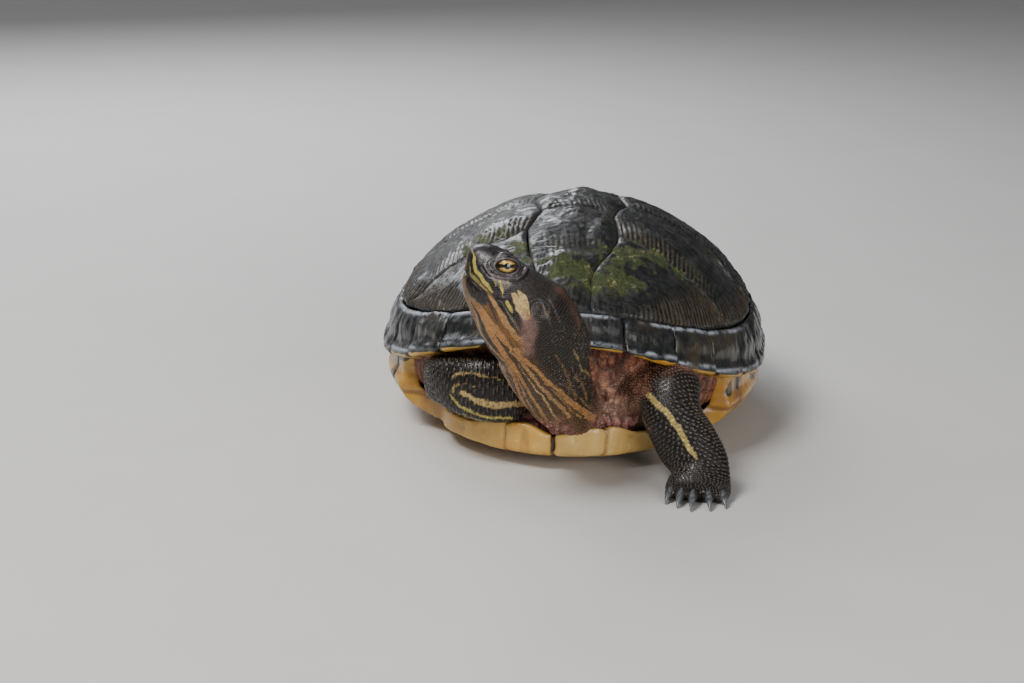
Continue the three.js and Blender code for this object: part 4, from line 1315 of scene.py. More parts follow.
bodies = {"neck": body_rings(neck_and_head_stations(), 120, 72)}
for name, limb in LIMBS.items():
    bodies[name] = body_rings(limb_stations(limb["rows"], limb["across"]), 56, 48)
bodies["tail"] = body_rings(limb_stations(TAIL, [(1, 0, 0)]), 40, 28)
for side, word in SIDES:
    for label, path in (("fold", FOLD), ("hip_fold", HIP_FOLD)):
        line = limb_stations([(side * row[0], *row[1:]) for row in path], [(0, 0, 1)])
        bodies[f"{label}_{word}"] = kept_in_shell(body_rings(line, 30, 36))
bodies["trunk"] = np.array(trunk_rings())
toes = [body_rings(toe_stations(toe), 12, 16) for limb in LIMBS.values() for toe in limb["toes"]]
print("bodies:", {name: rings.shape[:2] for name, rings in bodies.items()}, "toes:", len(toes))

# %% [markdown]
# ## One skin
# The bodies run into each other, and the skin must not show where. A voxel remesh takes the
# outside of them all as one surface. It needs a ball round each eye for the lids, a little
# larger than the eyeball, which the remesh melts into the head. Smoothing then softens the
# creases where a limb leaves the trunk. What the shell hides is thinned out, and the head,
# which has the finest forms, is divided once more.

# %% Melt the bodies together
EYE_RADIUS = 5.0
EYE_OUT = 8.4
LID_BALL = 5.75


def ball(place, radius):
    bm = bmesh.new()
    bmesh.ops.create_icosphere(bm, subdivisions=4, radius=radius)
    bmesh.ops.translate(bm, vec=Vector(place), verts=bm.verts)
    return bm


def joined(parts):
    whole = bmesh.new()
    for part in parts:
        mesh = mesh_of(part, "part")
        whole.from_mesh(mesh)
        bpy.data.meshes.remove(mesh)
    return whole


parts = [loft(rings) for rings in [*bodies.values(), *toes]]
for side in (1, -1):
    parts.append(ball(from_head((0, -0.15, side * (EYE_OUT - 0.25))), LID_BALL))
skin = remesh(joined(parts), 1.0, 4)
print("skin:", len(skin.verts), "corners after the remesh")


def hidden_from_sight(points):
    """Inside the shell, where nobody can look."""
    x, y, z = points.T
    share, bearing = polar(x, y)
    deep = (share < 0.93) & (z > rim_height(bearing) + 1.5) & (y > -121)
    middle = (np.abs(y) < 52) & (z > 4)
    under = (z < 9.5) & (np.hypot(x / 50, y / 101) < 1)
    return deep | middle | under


def thinned(bm, hidden, share):
    """Leaves a share of the faces, and takes them out only where they are hidden."""
    body = draft(bm)
    group = body.vertex_groups.new(name="hidden")
    group.add(np.nonzero(hidden)[0].tolist(), 1.0, "REPLACE")
    fewer = body.modifiers.new("fewer", "DECIMATE")
    fewer.ratio = share
    fewer.vertex_group = group.name
    fewer.use_collapse_triangulate = False
    return settled(body)


hidden = hidden_from_sight(corners_of(skin)[0])
skin = thinned(skin, hidden, 1 - 0.93 * hidden.mean())
print("hidden share:", round(float(hidden.mean()), 2), "now", len(skin.verts), "corners")

# %% Divide the head once more
points, _ = corners_of(skin)
local = in_head(points)
fine_zone = (local[:, 0] > -27) & (np.abs(local[:, 1] + 13) < 26) & (np.abs(local[:, 2]) < 22)
fine_zone &= points[:, 1] < -122
skin.verts.index_update()
edges = [edge for edge in skin.edges if all(fine_zone[vert.index] for vert in edge.verts)]
bmesh.ops.subdivide_edges(skin, edges=edges, cuts=1, use_grid_fill=True)
head_verts = [vert for vert in skin.verts if (in_head(np.array(vert.co)) > (-26, -40, -22)).all()
              and vert.co.y < -124]
for _ in range(3):
    bmesh.ops.smooth_vert(skin, verts=head_verts, factor=0.5, use_axis_x=True, use_axis_y=True,
                          use_axis_z=True)
print("skin:", len(skin.verts), "corners,", len(head_verts), "on the head")

# %% [markdown]
# ## Finding the way on the skin
# Markings, folds and scales all follow the body: stripes run down the neck, scales ring the
# legs. So every point of the skin is looked up on the curved sheet of its body, which tells how
# far along the limb and how far round it lies. Near a joint two bodies have a say, each the
# more, the nearer it is. The neck's two sides are alike, so a point on the far side is first
# folded over to the near one, and its angle is counted from the throat up to the nape.

# %% Sheets of the bodies
class Sheet:
    """A round body as a sheet with two directions: along it, 0 to 1, and round it, in degrees."""

    def __init__(self, rings):
        self.rings = rings
        count, facets = rings.shape[:2]
        index = np.arange(count * facets).reshape(count, facets)
        beside = np.roll(index, -1, axis=1)
        quads = np.stack([index[:-1], beside[:-1], beside[1:], index[1:]], -1).reshape(-1, 4)
        self.tree = BVHTree.FromPolygons(rings.reshape(-1, 3).tolist(), quads.tolist())

    def find(self, points, reach=7.0):
        """Distance, share along and turn round of the nearest place; distance 99 if too far."""
        count, facets = self.rings.shape[:2]
        found = [self.tree.find_nearest(point, reach) for point in points.tolist()]
        hit = np.array([item[0] is not None for item in found])
        away = np.full(len(points), 99.0)
        share, turn = np.zeros(len(points)), np.zeros(len(points))
        if not hit.any():
            return away, share, turn
        kept = [item for item in found if item[0] is not None]
        spot = np.array([item[0] for item in kept])
        face = np.array([item[2] for item in kept])
        away[hit] = [item[3] for item in kept]
        row, column = face // facets, face % facets
        corner = self.rings[row, column]
        forth = self.rings[row + 1, column] - corner
        round_ = self.rings[row, (column + 1) % facets] - corner
        part = lambda way: np.sum((spot - corner) * way, -1) / (np.sum(way * way, -1) + 1e-9)
        share[hit] = (row + np.clip(part(forth), 0, 1)) / (count - 1)
        turn[hit] = (column + np.clip(part(round_), 0, 1)) * 360 / facets
        return away, share, turn

    def at(self, share, turn):
        """The place on the sheet at a share along and a turn round."""
        count, facets = self.rings.shape[:2]
        row = np.clip(np.asarray(share, float), 0, 0.99999) * (count - 1)
        column = (np.asarray(turn, float) % 360) / 360 * facets
        i, j = row.astype(int), column.astype(int) % facets
        s, t = (row - i)[..., None], (column - column.astype(int))[..., None]
        over, up = (j + 1) % facets, i + 1
        rings = self.rings
        return ((rings[i, j] * (1 - t) + rings[i, over] * t) * (1 - s)
                + (rings[up, j] * (1 - t) + rings[up, over] * t) * s)


SHEETS = {name: Sheet(rings) for name, rings in bodies.items()}


def whereabouts(points):
    """For each body near the points: its weight, and the share along and turn round on it."""
    found = {name: sheet.find(points) for name, sheet in SHEETS.items()}
    nearest = np.min([away for away, _, _ in found.values()], axis=0)
    weight = {name: np.exp(-(away - np.minimum(nearest, 4.0)) / 0.7)
              for name, (away, _, _) in found.items()}
    total = sum(weight.values()) + 1e-9
    return {name: (weight[name] / total, *found[name][1:]) for name in weight}


def from_throat(turn):
    """Degrees up from the throat, the same on both sides of the neck."""
    return np.abs((turn - 270 + 180) % 360 - 180)


def stroke(sheet, spots, line, width, soft=0.22):
    """How far inside a painted stroke points lie: 1 on it, 0 from its edge on."""
    line = np.array(line, float)
    shares = np.linspace(0, 1, 6 * len(line))
    path = curve_at(line, shares)
    path = sheet.at(path[:, 0], path[:, 1])
    width = curve_at(np.array(width, float)[:, None], shares)[:, 0]
    inside = -9.0
    for start, end, broad in zip(path[:-1], path[1:], (width[:-1] + width[1:]) / 2):
        away = np.linalg.norm(from_segment(spots, start, end), axis=-1)
        inside = np.maximum(inside, broad - away)
    return ease(inside, -soft, soft)


probe = SHEETS["neck"].find(np.array([(-35.0, -167.0, 112.0), (0.0, -165.0, 55.0)]))
print("shares and turns of two points of the neck:", np.round(probe[1:], 3).tolist())

# %% [markdown]
# ## The head
# A slider's head is a map of creases: two lids like thick lips round the eye, the edge of the
# horny beak, a pit for each nostril, and the round drum of the ear. Each is a displacement of
# the skin by a distance that depends on how far a point lies from the crease.
# The opening of the eye lies level while the head is lifted, as a turtle rolls its eyes to
# keep the world level. It is cut out of the skin, its edge is drawn to a clean almond, and
# turned inwards until it meets the eyeball.

# %% Open the eyes
LEVEL = np.array(((0.776, -0.619), (0.619, 0.776)))
EYE_LONG, EYE_HIGH = 4.8, 2.95
# The lid's edge lies a little outside the eyeball, and its hidden border a little inside
LID_OUTSIDE, LID_INSIDE = 5.45, 4.6


def eye_plane(local):
    """Level and upright places of points, as a lid sees them, and how far out of the opening."""
    level, upright = LEVEL @ local[:, :2].T
    ratio = (np.abs(level / EYE_LONG) ** 1.75 + np.abs(upright / EYE_HIGH) ** 1.75) ** (1 / 1.75)
    return level, upright, ratio


def open_eye(bm, side):
    centre = np.array((0, 0, side * EYE_OUT))
    points = in_head(np.array([vert.co for vert in bm.verts]))
    level, upright, ratio = eye_plane(points)
    near = (points[:, 2] * side > 7) & (np.hypot(level, upright) < 8)
    inside = near & (ratio < 0.97)
    bm.verts.index_update()
    gone = [face for face in bm.faces if all(inside[vert.index] for vert in face.verts)]
    bmesh.ops.delete(bm, geom=gone, context="FACES")
    bmesh.ops.delete(bm, geom=[v for v in bm.verts if not v.link_faces], context="VERTS")
    edges = [edge for edge in bm.edges if edge.is_boundary]
    for vert in {vert for edge in edges for vert in edge.verts}:
        level, upright, ratio = eye_plane(in_head(np.array(vert.co))[None])
        flat = LEVEL.T @ (np.array((level[0], upright[0])) / ratio[0])
        out = math.sqrt(max(1.0, LID_OUTSIDE**2 - flat @ flat))
        vert.co = from_head((*flat, side * (EYE_OUT + out)))
    inner = bmesh.ops.extrude_edge_only(bm, edges=edges)["geom"]
    for vert in verts_of(inner):
        place = in_head(np.array(vert.co)) - centre
        vert.co = from_head(centre + place * LID_INSIDE / np.linalg.norm(place))
    close_to_point(bm, edges_of(inner), Vector(from_head(centre)))


for side, _ in SIDES:
    open_eye(skin, side)
print("skin:", len(skin.verts), "corners after opening the eyes")

# %% Crease the face
def line_distance(flat, line):
    """Distance from a polyline, and above (+) or below it."""
    best = np.full(len(flat), 99.0)
    above = np.zeros(len(flat))
    line = np.array(line, float)
    for start, end in zip(line[:-1], line[1:]):
        gap = from_segment(flat, start, end)
        away = np.linalg.norm(gap, axis=-1)
        nearer = away < best
        best = np.where(nearer, away, best)
        way = end - start
        side = way[0] * gap[:, 1] - way[1] * gap[:, 0]
        above = np.where(nearer, np.sign(side), above)
    return best, above


MOUTH = [(-10.4, -8), (-9.3, -11.4), (-7.3, -13), (-3.3, -14.5), (1.6, -15), (6.5, -14.8),
         (9.2, -14.9), (13, -14)]
CHEEK_CREASE = [(-10.4, -12), (-13, -16.5), (-18, -21), (-26, -24)]


def face_relief(points):
    """How far the skin of the head is raised or pressed in, in millimetres."""
    local = in_head(points)
    level, upright, ratio = eye_plane(local)
    flat = local[:, :2]
    wide = np.abs(local[:, 2])
    beside = wide > 6
    ratio = ratio + 0.16 * lumps(local, 3.4, 2.0) * ease(ratio, 1.05, 1.5)
    behind_eye = ease(-level, -1.5, 3) * 0.6 + ease(-upright, -1, 2) * 0.6
    lids = 0.3 * bell(ratio - 1.14, 0.11) - 0.42 * bell(ratio - 1.36, 0.06) * (upright > -1)
    lids += 0.26 * bell(ratio - 1.48, 0.07) - 0.38 * bell(ratio - 1.64, 0.06)
    lids += 0.2 * bell(ratio - 1.74, 0.06) * (upright > 0)
    lids += (0.55 * bell(ratio - 1.92, 0.12) - 0.45 * bell(ratio - 2.2, 0.12)) * behind_eye
    spokes = np.sin(np.arctan2(upright, level) * 17)
    lids += 0.16 * spokes * bell(ratio - 1.7, 0.3) * ease(-upright, 0, 1.5)
    relief = lids * beside * (np.hypot(level, upright) < 11)
    away, above = line_distance(flat, MOUTH)
    shut = ease(local[:, 0], -11, -7)
    relief -= 0.85 * bell(away, 0.42) * shut
    relief += 0.35 * bell(away - 0.95, 0.6) * (above > 0) * shut
    relief -= 0.3 * bell(away - 1.0, 0.8) * (above < 0) * shut
    away, _ = line_distance(flat, CHEEK_CREASE)
    relief -= 0.32 * bell(away, 0.7) * (wide > 8)
    drum = np.hypot((flat[:, 0] + 22.6) / 4.9, (flat[:, 1] + 5.6) / 4.4)
    relief += (0.3 * bell(drum - 1.08, 0.14) - 0.4 * ease(drum, 1.0, 0.72)) * (wide > 8)
    jaw = np.hypot((flat[:, 0] + 14) / 7, (flat[:, 1] + 17.5) / 5)
    relief += 0.55 * bell(jaw, 1.0) * (wide > 8)
    brow = line_distance(flat, [(-8, 3.4), (0, 4.1), (6, 2.4)])[0]
    relief += 0.3 * bell(brow, 1.0) * (wide > 7)
    for side in (1, -1):
        pit = np.linalg.norm(local - (15.0, -3.9, side * 1.7), axis=-1)
        relief += 0.22 * bell(pit - 1.0, 0.35) - 1.0 * bell(pit, 0.6)
    return relief * ease(local[:, 0], -34, -29)


points, normals = corners_of(skin)
on_head = (in_head(points)[:, 0] > -34) & (points[:, 2] > 60)
relief = np.zeros(len(points))
relief[on_head] = face_relief(points[on_head])
place_corners(skin, points + normals * relief[:, None])
print("face relief from", round(relief.min(), 2), "to", round(relief.max(), 2), "mm")

# %% [markdown]
# ## Markings
# A slider's skin is nearly black, with yellow lines that run from the snout over the cheek
# and down the whole neck, and one bright stripe on each leg. Each line is a stroke: a path on
# the sheet, given as shares along and degrees up from the throat, with a width in millimetres.
# Strokes carry one number for how pale they are and one for their colour, from lemon through
# cream to orange. Loose skin in the pockets is a bare pink. Skin and scales ask the same
# function, so the markings run through both.

# %% Strokes of the head and neck
LEMON, CREAM, TAN, ORANGE = 0.0, 0.35, 0.7, 1.0
NECK_STROKES = [
    # The stripe from the nostril and the pale edge of the beak
    (LEMON, 1.0, [(0.955, 90), (0.911, 83), (0.832, 82), (0.752, 84), (0.689, 85), (0.640, 86)],
     [0.35, 0.5, 0.75, 0.95, 0.95, 0.5]),
    (LEMON, 0.5, [(0.87, 60), (0.817, 67), (0.741, 74), (0.678, 79), (0.642, 82), (0.617, 85)],
     [0.7, 0.9, 1.0, 0.9, 0.7, 0.4]),
    # Bars below the eye, the blotch behind it and the wedge under that
    (LEMON, 0.8, [(0.666, 94), (0.643, 91)], [0.4, 0.3]),
    (LEMON, 1.0, [(0.643, 97), (0.626, 94), (0.603, 91)], [0.5, 0.6, 0.4]),
    (LEMON, 0.7, [(0.623, 106), (0.603, 100)], [0.35, 0.3]),
    (CREAM, 1.0, [(0.565, 99), (0.537, 97), (0.511, 94), (0.476, 91)], [0.9, 1.5, 1.7, 0.9]),
    (CREAM, 0.95, [(0.556, 106), (0.524, 104), (0.500, 99), (0.468, 94)], [0.9, 1.6, 1.5, 0.7]),
    (LEMON, 0.9, [(0.566, 90), (0.546, 89), (0.526, 88)], [0.9, 1.1, 0.4]),
    # Bands along the jaws
    (CREAM, 0.75, [(0.80, 36), (0.701, 36), (0.657, 44), (0.620, 54)], [1.0, 1.2, 1.2, 1.0]),
    (ORANGE, 0.9, [(0.645, 49), (0.620, 54), (0.556, 56), (0.503, 57), (0.44, 53)],
     [0.8, 1.2, 1.6, 1.8, 1.0]),
    (TAN, 0.8, [(0.692, 79), (0.655, 80), (0.618, 80), (0.558, 78), (0.508, 75), (0.470, 73), (0.43, 70)],
     [0.3, 0.7, 1.0, 1.3, 1.5, 1.6, 1.4]),
    (CREAM, 0.75, [(0.739, 61), (0.699, 60), (0.650, 61)], [0.3, 0.35, 0.2]),
    (CREAM, 0.5, [(0.545, 84.5), (0.50, 81.5)], [0.4, 0.3]),
    # Lines down the throat, which fan out towards the shoulders
    (TAN, 0.9, [(0.86, 20), (0.72, 22), (0.632, 30), (0.566, 16), (0.490, 19), (0.453, 23), (0.402, 25)],
     [0.6, 0.9, 1.1, 1.0, 1.0, 1.0, 1.0]),
    (ORANGE, 0.95, [(0.402, 25), (0.326, 28), (0.243, 26), (0.181, 17)], [1.0, 1.0, 1.1, 1.3]),
    (TAN, 0.8, [(0.41, 30), (0.33, 34), (0.26, 37), (0.20, 35), (0.15, 33)], [0.4, 0.5, 0.6, 0.7, 0.7]),
    (TAN, 0.75, [(0.34, 67), (0.30, 74), (0.25, 85), (0.19, 95), (0.14, 106)], [0.3, 0.4, 0.5, 0.5, 0.6]),
    (TAN, 0.6, [(0.33, 82), (0.25, 104), (0.19, 118), (0.13, 132)], [0.3, 0.45, 0.5, 0.6]),
    (TAN, 0.7, [(0.36, 12), (0.28, 13), (0.2, 10), (0.15, 9)], [0.5, 0.6, 0.7, 0.8]),
    (ORANGE, 1.0, [(0.657, 40), (0.587, 47), (0.517, 44), (0.465, 38), (0.421, 34), (0.366, 37),
                   (0.316, 42), (0.262, 48), (0.202, 51), (0.150, 52)],
     [0.8, 1.7, 1.9, 1.9, 1.5, 1.0, 0.95, 0.95, 0.95, 0.9]),
    (CREAM, 0.8, [(0.383, 45), (0.348, 49), (0.316, 54), (0.265, 64), (0.199, 68), (0.16, 70)],
     [0.2, 0.35, 0.45, 0.5, 0.6, 0.6]),
    (TAN, 0.95, [(0.43, 48), (0.374, 53), (0.344, 57), (0.306, 65), (0.246, 76), (0.212, 83),
                 (0.160, 92)], [0.9, 0.75, 0.75, 0.85, 1.0, 1.0, 0.9]),
    (ORANGE, 1.0, [(0.42, 56), (0.383, 58), (0.357, 65), (0.329, 72), (0.276, 86), (0.219, 97),
                   (0.175, 109), (0.127, 121), (0.078, 131)],
     [1.1, 0.95, 0.95, 0.95, 1.1, 1.3, 1.5, 1.8, 2.0]),
    (TAN, 0.9, [(0.38, 4), (0.3, 6), (0.2, 4), (0.13, 2)], [0.9, 1.0, 1.3, 1.3]),
    # Dotted lines on the dark side of the neck
    (TAN, 0.4, [(0.362, 94), (0.33, 97), (0.305, 100), (0.25, 105), (0.209, 109)],
     [0.7, 0.9, 0.8, 0.9, 1.1]),
    (CREAM, 0.55, [(0.352, 119), (0.309, 121), (0.26, 136), (0.207, 150)], [0.6, 0.7, 0.6, 0.7]),
    (TAN, 0.5, [(0.335, 106), (0.28, 114), (0.23, 126), (0.17, 130)], [0.5, 0.7, 0.8, 0.9]),
    (TAN, 0.35, [(0.36, 150), (0.28, 158), (0.2, 165)], [0.6, 0.7, 0.7]),
    (TAN, 0.5, [(0.440, 113), (0.400, 111)], [0.5, 0.4]),
]
BLACK_STROKES = [
    ([(0.504, 115), (0.484, 108), (0.460, 102), (0.430, 97)], [1.2, 2.2, 2.4, 1.2]),
    ([(0.93, 90), (0.84, 89), (0.75, 90), (0.68, 91), (0.63, 90)], [0.2, 0.35, 0.35, 0.4, 0.3]),
    ([(0.79, 53), (0.719, 60), (0.677, 62), (0.648, 64), (0.622, 66)], [0.5, 1.2, 1.7, 1.5, 0.7]),
    ([(0.606, 85), (0.57, 84.5), (0.537, 84), (0.483, 80), (0.441, 76)], [0.6, 1.0, 1.3, 1.4, 1.2]),
    ([(0.66, 33), (0.619, 38), (0.549, 32), (0.487, 26)], [0.4, 0.7, 0.8, 0.5]),
    ([(0.905, 68), (0.84, 69), (0.77, 74)], [0.5, 0.6, 0.4]),
    ([(0.63, 74), (0.58, 70), (0.53, 66)], [0.5, 0.5, 0.3]),
]
OCHRE_PATCHES = [
    ([(0.612, 66), (0.552, 68), (0.500, 69), (0.452, 67), (0.398, 62)], [1.4, 2.6, 3.4, 3.4, 2.4]),
]
PINK_PATCHES = [
    ([(0.492, 93), (0.464, 92), (0.425, 84), (0.410, 75), (0.388, 67)], [1.6, 2.8, 3.6, 3.4, 2.4]),
]
# A painted sheen on the nape, laid on as pink
NAPE_SHEEN = [
    ([(0.430, 152), (0.400, 156), (0.379, 158), (0.362, 150)], [1.6, 2.6, 2.6, 1.4]),
]
ASH_STROKES = [
    ([(0.682, 94), (0.650, 94), (0.620, 98), (0.603, 103)], [0.5, 1.3, 1.6, 0.8]),
    ([(0.477, 119), (0.424, 112), (0.392, 107)], [0.2, 0.3, 0.2]),
    ([(0.449, 126), (0.400, 122), (0.384, 121)], [0.2, 0.35, 0.2]),
    ([(0.575, 87), (0.528, 84), (0.487, 81), (0.449, 77)], [0.2, 0.35, 0.35, 0.2]),
]
ARM_LEFT_STROKES = [
    (0.2, 0.8, [(0.262, 127), (0.29, 121), (0.347, 108), (0.384, 95), (0.43, 90), (0.477, 89),
                (0.55, 90), (0.63, 92)], [1.1, 1.5, 1.6, 1.4, 1.5, 1.5, 1.1, 0.5]),
    (CREAM, 0.45, [(0.3, 172), (0.36, 165), (0.42, 150)], [0.6, 0.7, 0.4]),
    (CREAM, 0.6, [(0.3, 235), (0.5, 240), (0.7, 235)], [0.9, 1.0, 0.5]),
    (CREAM, 0.6, [(0.25, 320), (0.45, 315), (0.65, 320)], [0.9, 0.9, 0.4]),
    (CREAM, 0.3, [(0.3, 40), (0.5, 30), (0.66, 40)], [0.5, 0.6, 0.3]),
]
ARM_RIGHT_STROKES = [
    (CREAM, 1.0, [(0.43, 268), (0.374, 260), (0.322, 254), (0.264, 250), (0.198, 251), (0.12, 251)],
     [1.0, 1.3, 1.5, 1.6, 1.6, 1.4]),
    (CREAM, 0.75, [(0.49, 290), (0.465, 301), (0.39, 304), (0.31, 300), (0.26, 296)],
     [0.5, 0.7, 0.7, 0.6, 0.3]),
    (CREAM, 0.7, [(0.48, 262), (0.473, 276), (0.42, 283), (0.36, 280)], [0.5, 0.7, 0.6, 0.3]),
    (LEMON, 0.85, [(0.5, 256), (0.465, 246), (0.418, 236), (0.328, 224), (0.25, 220), (0.188, 218)],
     [0.5, 0.8, 1.0, 1.0, 0.9, 0.8]),
    (LEMON, 0.6, [(0.44, 214), (0.36, 206), (0.28, 202)], [0.5, 0.7, 0.5]),
    (CREAM, 0.4, [(0.5, 60), (0.3, 70), (0.1, 80)], [0.7, 0.9, 0.7]),
    (CREAM, 0.4, [(0.5, 110), (0.3, 120), (0.1, 130)], [0.7, 0.9, 0.7]),
]
STRIPED = {
    "arm_left": ARM_LEFT_STROKES, "arm_right": ARM_RIGHT_STROKES,
    "leg_left": [(CREAM, 0.8, [(0.05, turn), (0.3, turn + 8), (0.55, turn)], [1.3, 1.1, 0.4])
                 for turn in (20, 70, 120, 175, 300)],
    "tail": [(CREAM, 0.75, [(0.0, turn), (0.5, turn), (0.9, turn)], [1.0, 0.7, 0.3])
             for turn in (40, 90, 140, 230, 310)],
}
STRIPED["leg_right"] = [(tone, pale, [(share, 180 - turn) for share, turn in path], width)
                        for tone, pale, path, width in STRIPED["leg_left"]]
print("strokes:", len(NECK_STROKES) + len(BLACK_STROKES) + sum(map(len, STRIPED.values())))

# %% Paint the strokes on points
def wobble(points):
    """The edges of stripes wander by a fraction of a millimetre."""
    small = drift(points, 2.3, (3.1, 2 * 3.1, 3 * 3.1))
    broad = drift(points, 6.0, (4.7, 2 * 4.7, 3 * 4.7))
    return points + 0.42 * small + 0.5 * broad


def lay(strokes, sheet, spots, marks, turned=0.0):
    for tone, pale, path, width in strokes:
        path = [(share, turn + turned) for share, turn in path]
        share_in = stroke(sheet, spots, path, width) * pale
        more = share_in > marks["pale"]
        marks["tone"] = np.where(more, tone, marks["tone"])
        marks["pale"] = np.maximum(marks["pale"], share_in)


def blank(count, dark=0.55):
    marks = {key: np.zeros(count) for key in ("pale", "tone", "pink", "ochre", "ash")}
    return marks | {"dark": np.full(count, dark)}


def neck_marks(points, share, turn):
    sheet = SHEETS["neck"]
    up = from_throat(turn)
    spots = wobble(sheet.at(share, up - 90))
    marks = blank(len(points))

    def patch(key, strokes, most=1.0, soft=0.22):
        for path, width in strokes:
            inside = stroke(sheet, spots, [(s, t - 90) for s, t in path], width, soft)
            marks[key] = np.maximum(marks[key], inside * most)

    patch("dark", BLACK_STROKES)
    black = marks["dark"] > 0.8
    lay(NECK_STROKES, sheet, spots, marks, -90.0)
    thin = blank(len(points))
    lay([item for item in NECK_STROKES if max(item[3]) < 0.5], sheet, spots, thin, -90.0)
    marks["pale"] = np.where(black, thin["pale"], marks["pale"])
    patch("ochre", OCHRE_PATCHES, ~black, 1.2)
    patch("pink", PINK_PATCHES, 0.6, 1.6)
    patch("ash", PINK_PATCHES, 0.3, 1.6)
    # Painted sheen on the nape, as pink
    patch("pink", NAPE_SHEEN, 0.4, 2.2)
    patch("ash", ASH_STROKES, 0.75, 0.5)
    border = np.interp(share, [0.0, 0.18, 0.235, 0.35, 0.385, 0.423, 0.5, 0.55],
                       [140, 112, 95, 78, 76, 94, 106, 180])
    beyond = ease(up - border, -4, 4)
    snout = ease(share, 0.52, 0.66)
    marks["dark"] = np.maximum(marks["dark"], np.where(share < 0.56, 0.72 + 0.28 * beyond, 0.0))
    marks["dark"] = marks["dark"] * (1 - 0.45 * snout * ease(up, 60, 100) * (1 - black))
    chin = ease(share, 0.5, 0.6) * ease(up, 45, 20)
    marks["ochre"] = np.maximum(marks["ochre"], 0.75 * chin * (marks["dark"] < 0.8))
    base = ease(share, 0.16, 0.05) * ease(up, 95, 125)
    under = ease(share, 0.2, 0.13) * ease(up, 110, 60)
    marks["pink"] = np.maximum(marks["pink"], np.maximum(base, under))
    jaws = ease(share, 0.54, 0.68) * ease(up, 66, 50)
    marks["pale"] = marks["pale"] * (1 - 0.5 * under) * (1 - 0.45 * jaws)
    front = ease(border - up, -3, 8) * ease(share, 0.52, 0.42)
    marks["ochre"] = np.maximum(marks["ochre"], 0.34 * front)
    return lid_marks(points, share, marks)


def lid_marks(points, share, marks):
    """The lids are dark in their creases, as painted shade, and pale grey on their folds, as a painted
    highlight.
    """
    local = in_head(points)
    _, upright, ratio = eye_plane(local)
    ratio = ratio + 0.16 * lumps(local, 3.4, 2.0) * ease(ratio, 1.05, 1.5)
    beside = (np.abs(local[:, 2]) > 6) & (share > 0.5)
    lower = ease(-upright + 0.4 * local[:, 0] * -1, -2, 3)
    # Painted highlight on the raised folds of the lids
    folds = 0.5 * bell(ratio - 1.2, 0.07) + 0.45 * bell(ratio - 1.5, 0.06)
    folds += 0.9 * bell(ratio - 1.93, 0.09) * lower + 0.3 * bell(ratio - 1.75, 0.05)
    # Painted shade in the pressed-in creases round the eye
    creases = bell(ratio - 1.0, 0.09) + bell(ratio - 1.36, 0.06) + bell(ratio - 1.64, 0.06)
    creases += bell(ratio - 2.2, 0.1)
    near = ease(ratio, 2.6, 2.3) * beside
    marks["pale"] = marks["pale"] * (1 - near * (ratio < 2.1))
    patchy = 0.55 + 0.45 * lumps(local, 2.6, 6.0)
    marks["ash"] = np.maximum(marks["ash"], folds * near * patchy)
    marks["dark"] = np.clip(marks["dark"] + creases * near, 0, 1)
    return marks


# Shares along a limb between which its bare root ends, and how pink that is
BARE_ROOTS = dict(arm_left=(0.3, 0.16, 0.75), arm_right=(0.14, 0.02, 0.75),
                  leg_left=(0.22, 0.05, 0.7), leg_right=(0.22, 0.05, 0.7))


def limb_marks(name, points, share, turn):
    marks = blank(len(points), 0.8)
    sheet = SHEETS[name]
    lay(STRIPED.get(name, []), sheet, wobble(sheet.at(share, turn)), marks)
    if name in BARE_ROOTS:
        start, end, most = BARE_ROOTS[name]
        marks["pink"] = ease(share + 0.05 * lumps(points, 6.0, 2.0), start, end) * most
    elif "fold" in name:
        marks["pink"] += 1
    return marks


# Where a painted pool of light makes the bare skin nearly white, how much, and within how many millimetres
LIT_SKIN_SPOTS = [((19.5, -103, 31), 1.0, 12.0), ((28, -100, 28), 0.9, 9.0),
              ((31, -96, 42), 0.5, 9.0), ((-56, -100, 34), 0.45, 9.0)]


def creases(points):
    """Fine lines that cross each other, 1 in the line, as loose skin folds in."""
    bent = points * (1, 1, 0.55) + 1.3 * drift(points, 9.0, (1, 5, 8))
    wide = bell(lumps(bent, 6.0, 4.0), 0.15)
    return np.maximum(wide, 0.85 * bell(lumps(bent, 3.2, 2.0), 0.2))


def paint(points):
    """Markings of points on the skin: each a number from 0 to 1."""
    blend = blank(len(points), 0.0)
    for name, (weight, share, turn) in whereabouts(points).items():
        near = np.nonzero(weight > 0.01)[0]
        if not len(near):
            continue
        if name == "neck":
            marks = neck_marks(points[near], share[near], turn[near])
        elif name == "trunk":
            marks = blank(len(near))
            marks["pink"] += 0.95
        else:
            marks = limb_marks(name, points[near], share[near], turn[near])
        for key, value in marks.items():
            blend[key][near] += weight[near] * value
    bare = np.clip(blend["pink"] * (1 + 0.3 * lumps(points, 4.0, 9.0)), 0, 1)
    blend["pale"] *= (1 - 0.75 * bare**2) * (0.86 + 0.14 * lumps(points, 1.7, 5.0))
    blend["pink"] = bare
    _, y, z = points.T
    # Painted highlight: pools of light painted on the bare skin of the front pockets, and a weaker one low
    # down in front
    lit_skin = sum(most * bell(np.linalg.norm(points - spot, axis=-1), wide)
               for spot, most, wide in LIT_SKIN_SPOTS)
    lit_skin = np.maximum(lit_skin, 0.3 * ease(z, 42.0, 30.0)) * ease(y, -70.0, -90.0)
    blend["lit_skin"] = np.clip(lit_skin * (0.9 + 0.5 * lumps(points, 3.0, 1.5)), 0, 1)
    # Crease lines of the bare skin: pressed in, and darkened with painted shade
    blend["shaded_crease"] = creases(points) * blend["pink"]
    blend["mauve"] = ease(z, 28.0, 23.0) * ease(y, -92.0, -100.0)
    return blend


blotch = paint(SHEETS["neck"].at(np.array([0.52]), np.array([5.0])))
print("one point of the blotch:", {key: round(float(value[0]), 2) for key, value in blotch.items()})

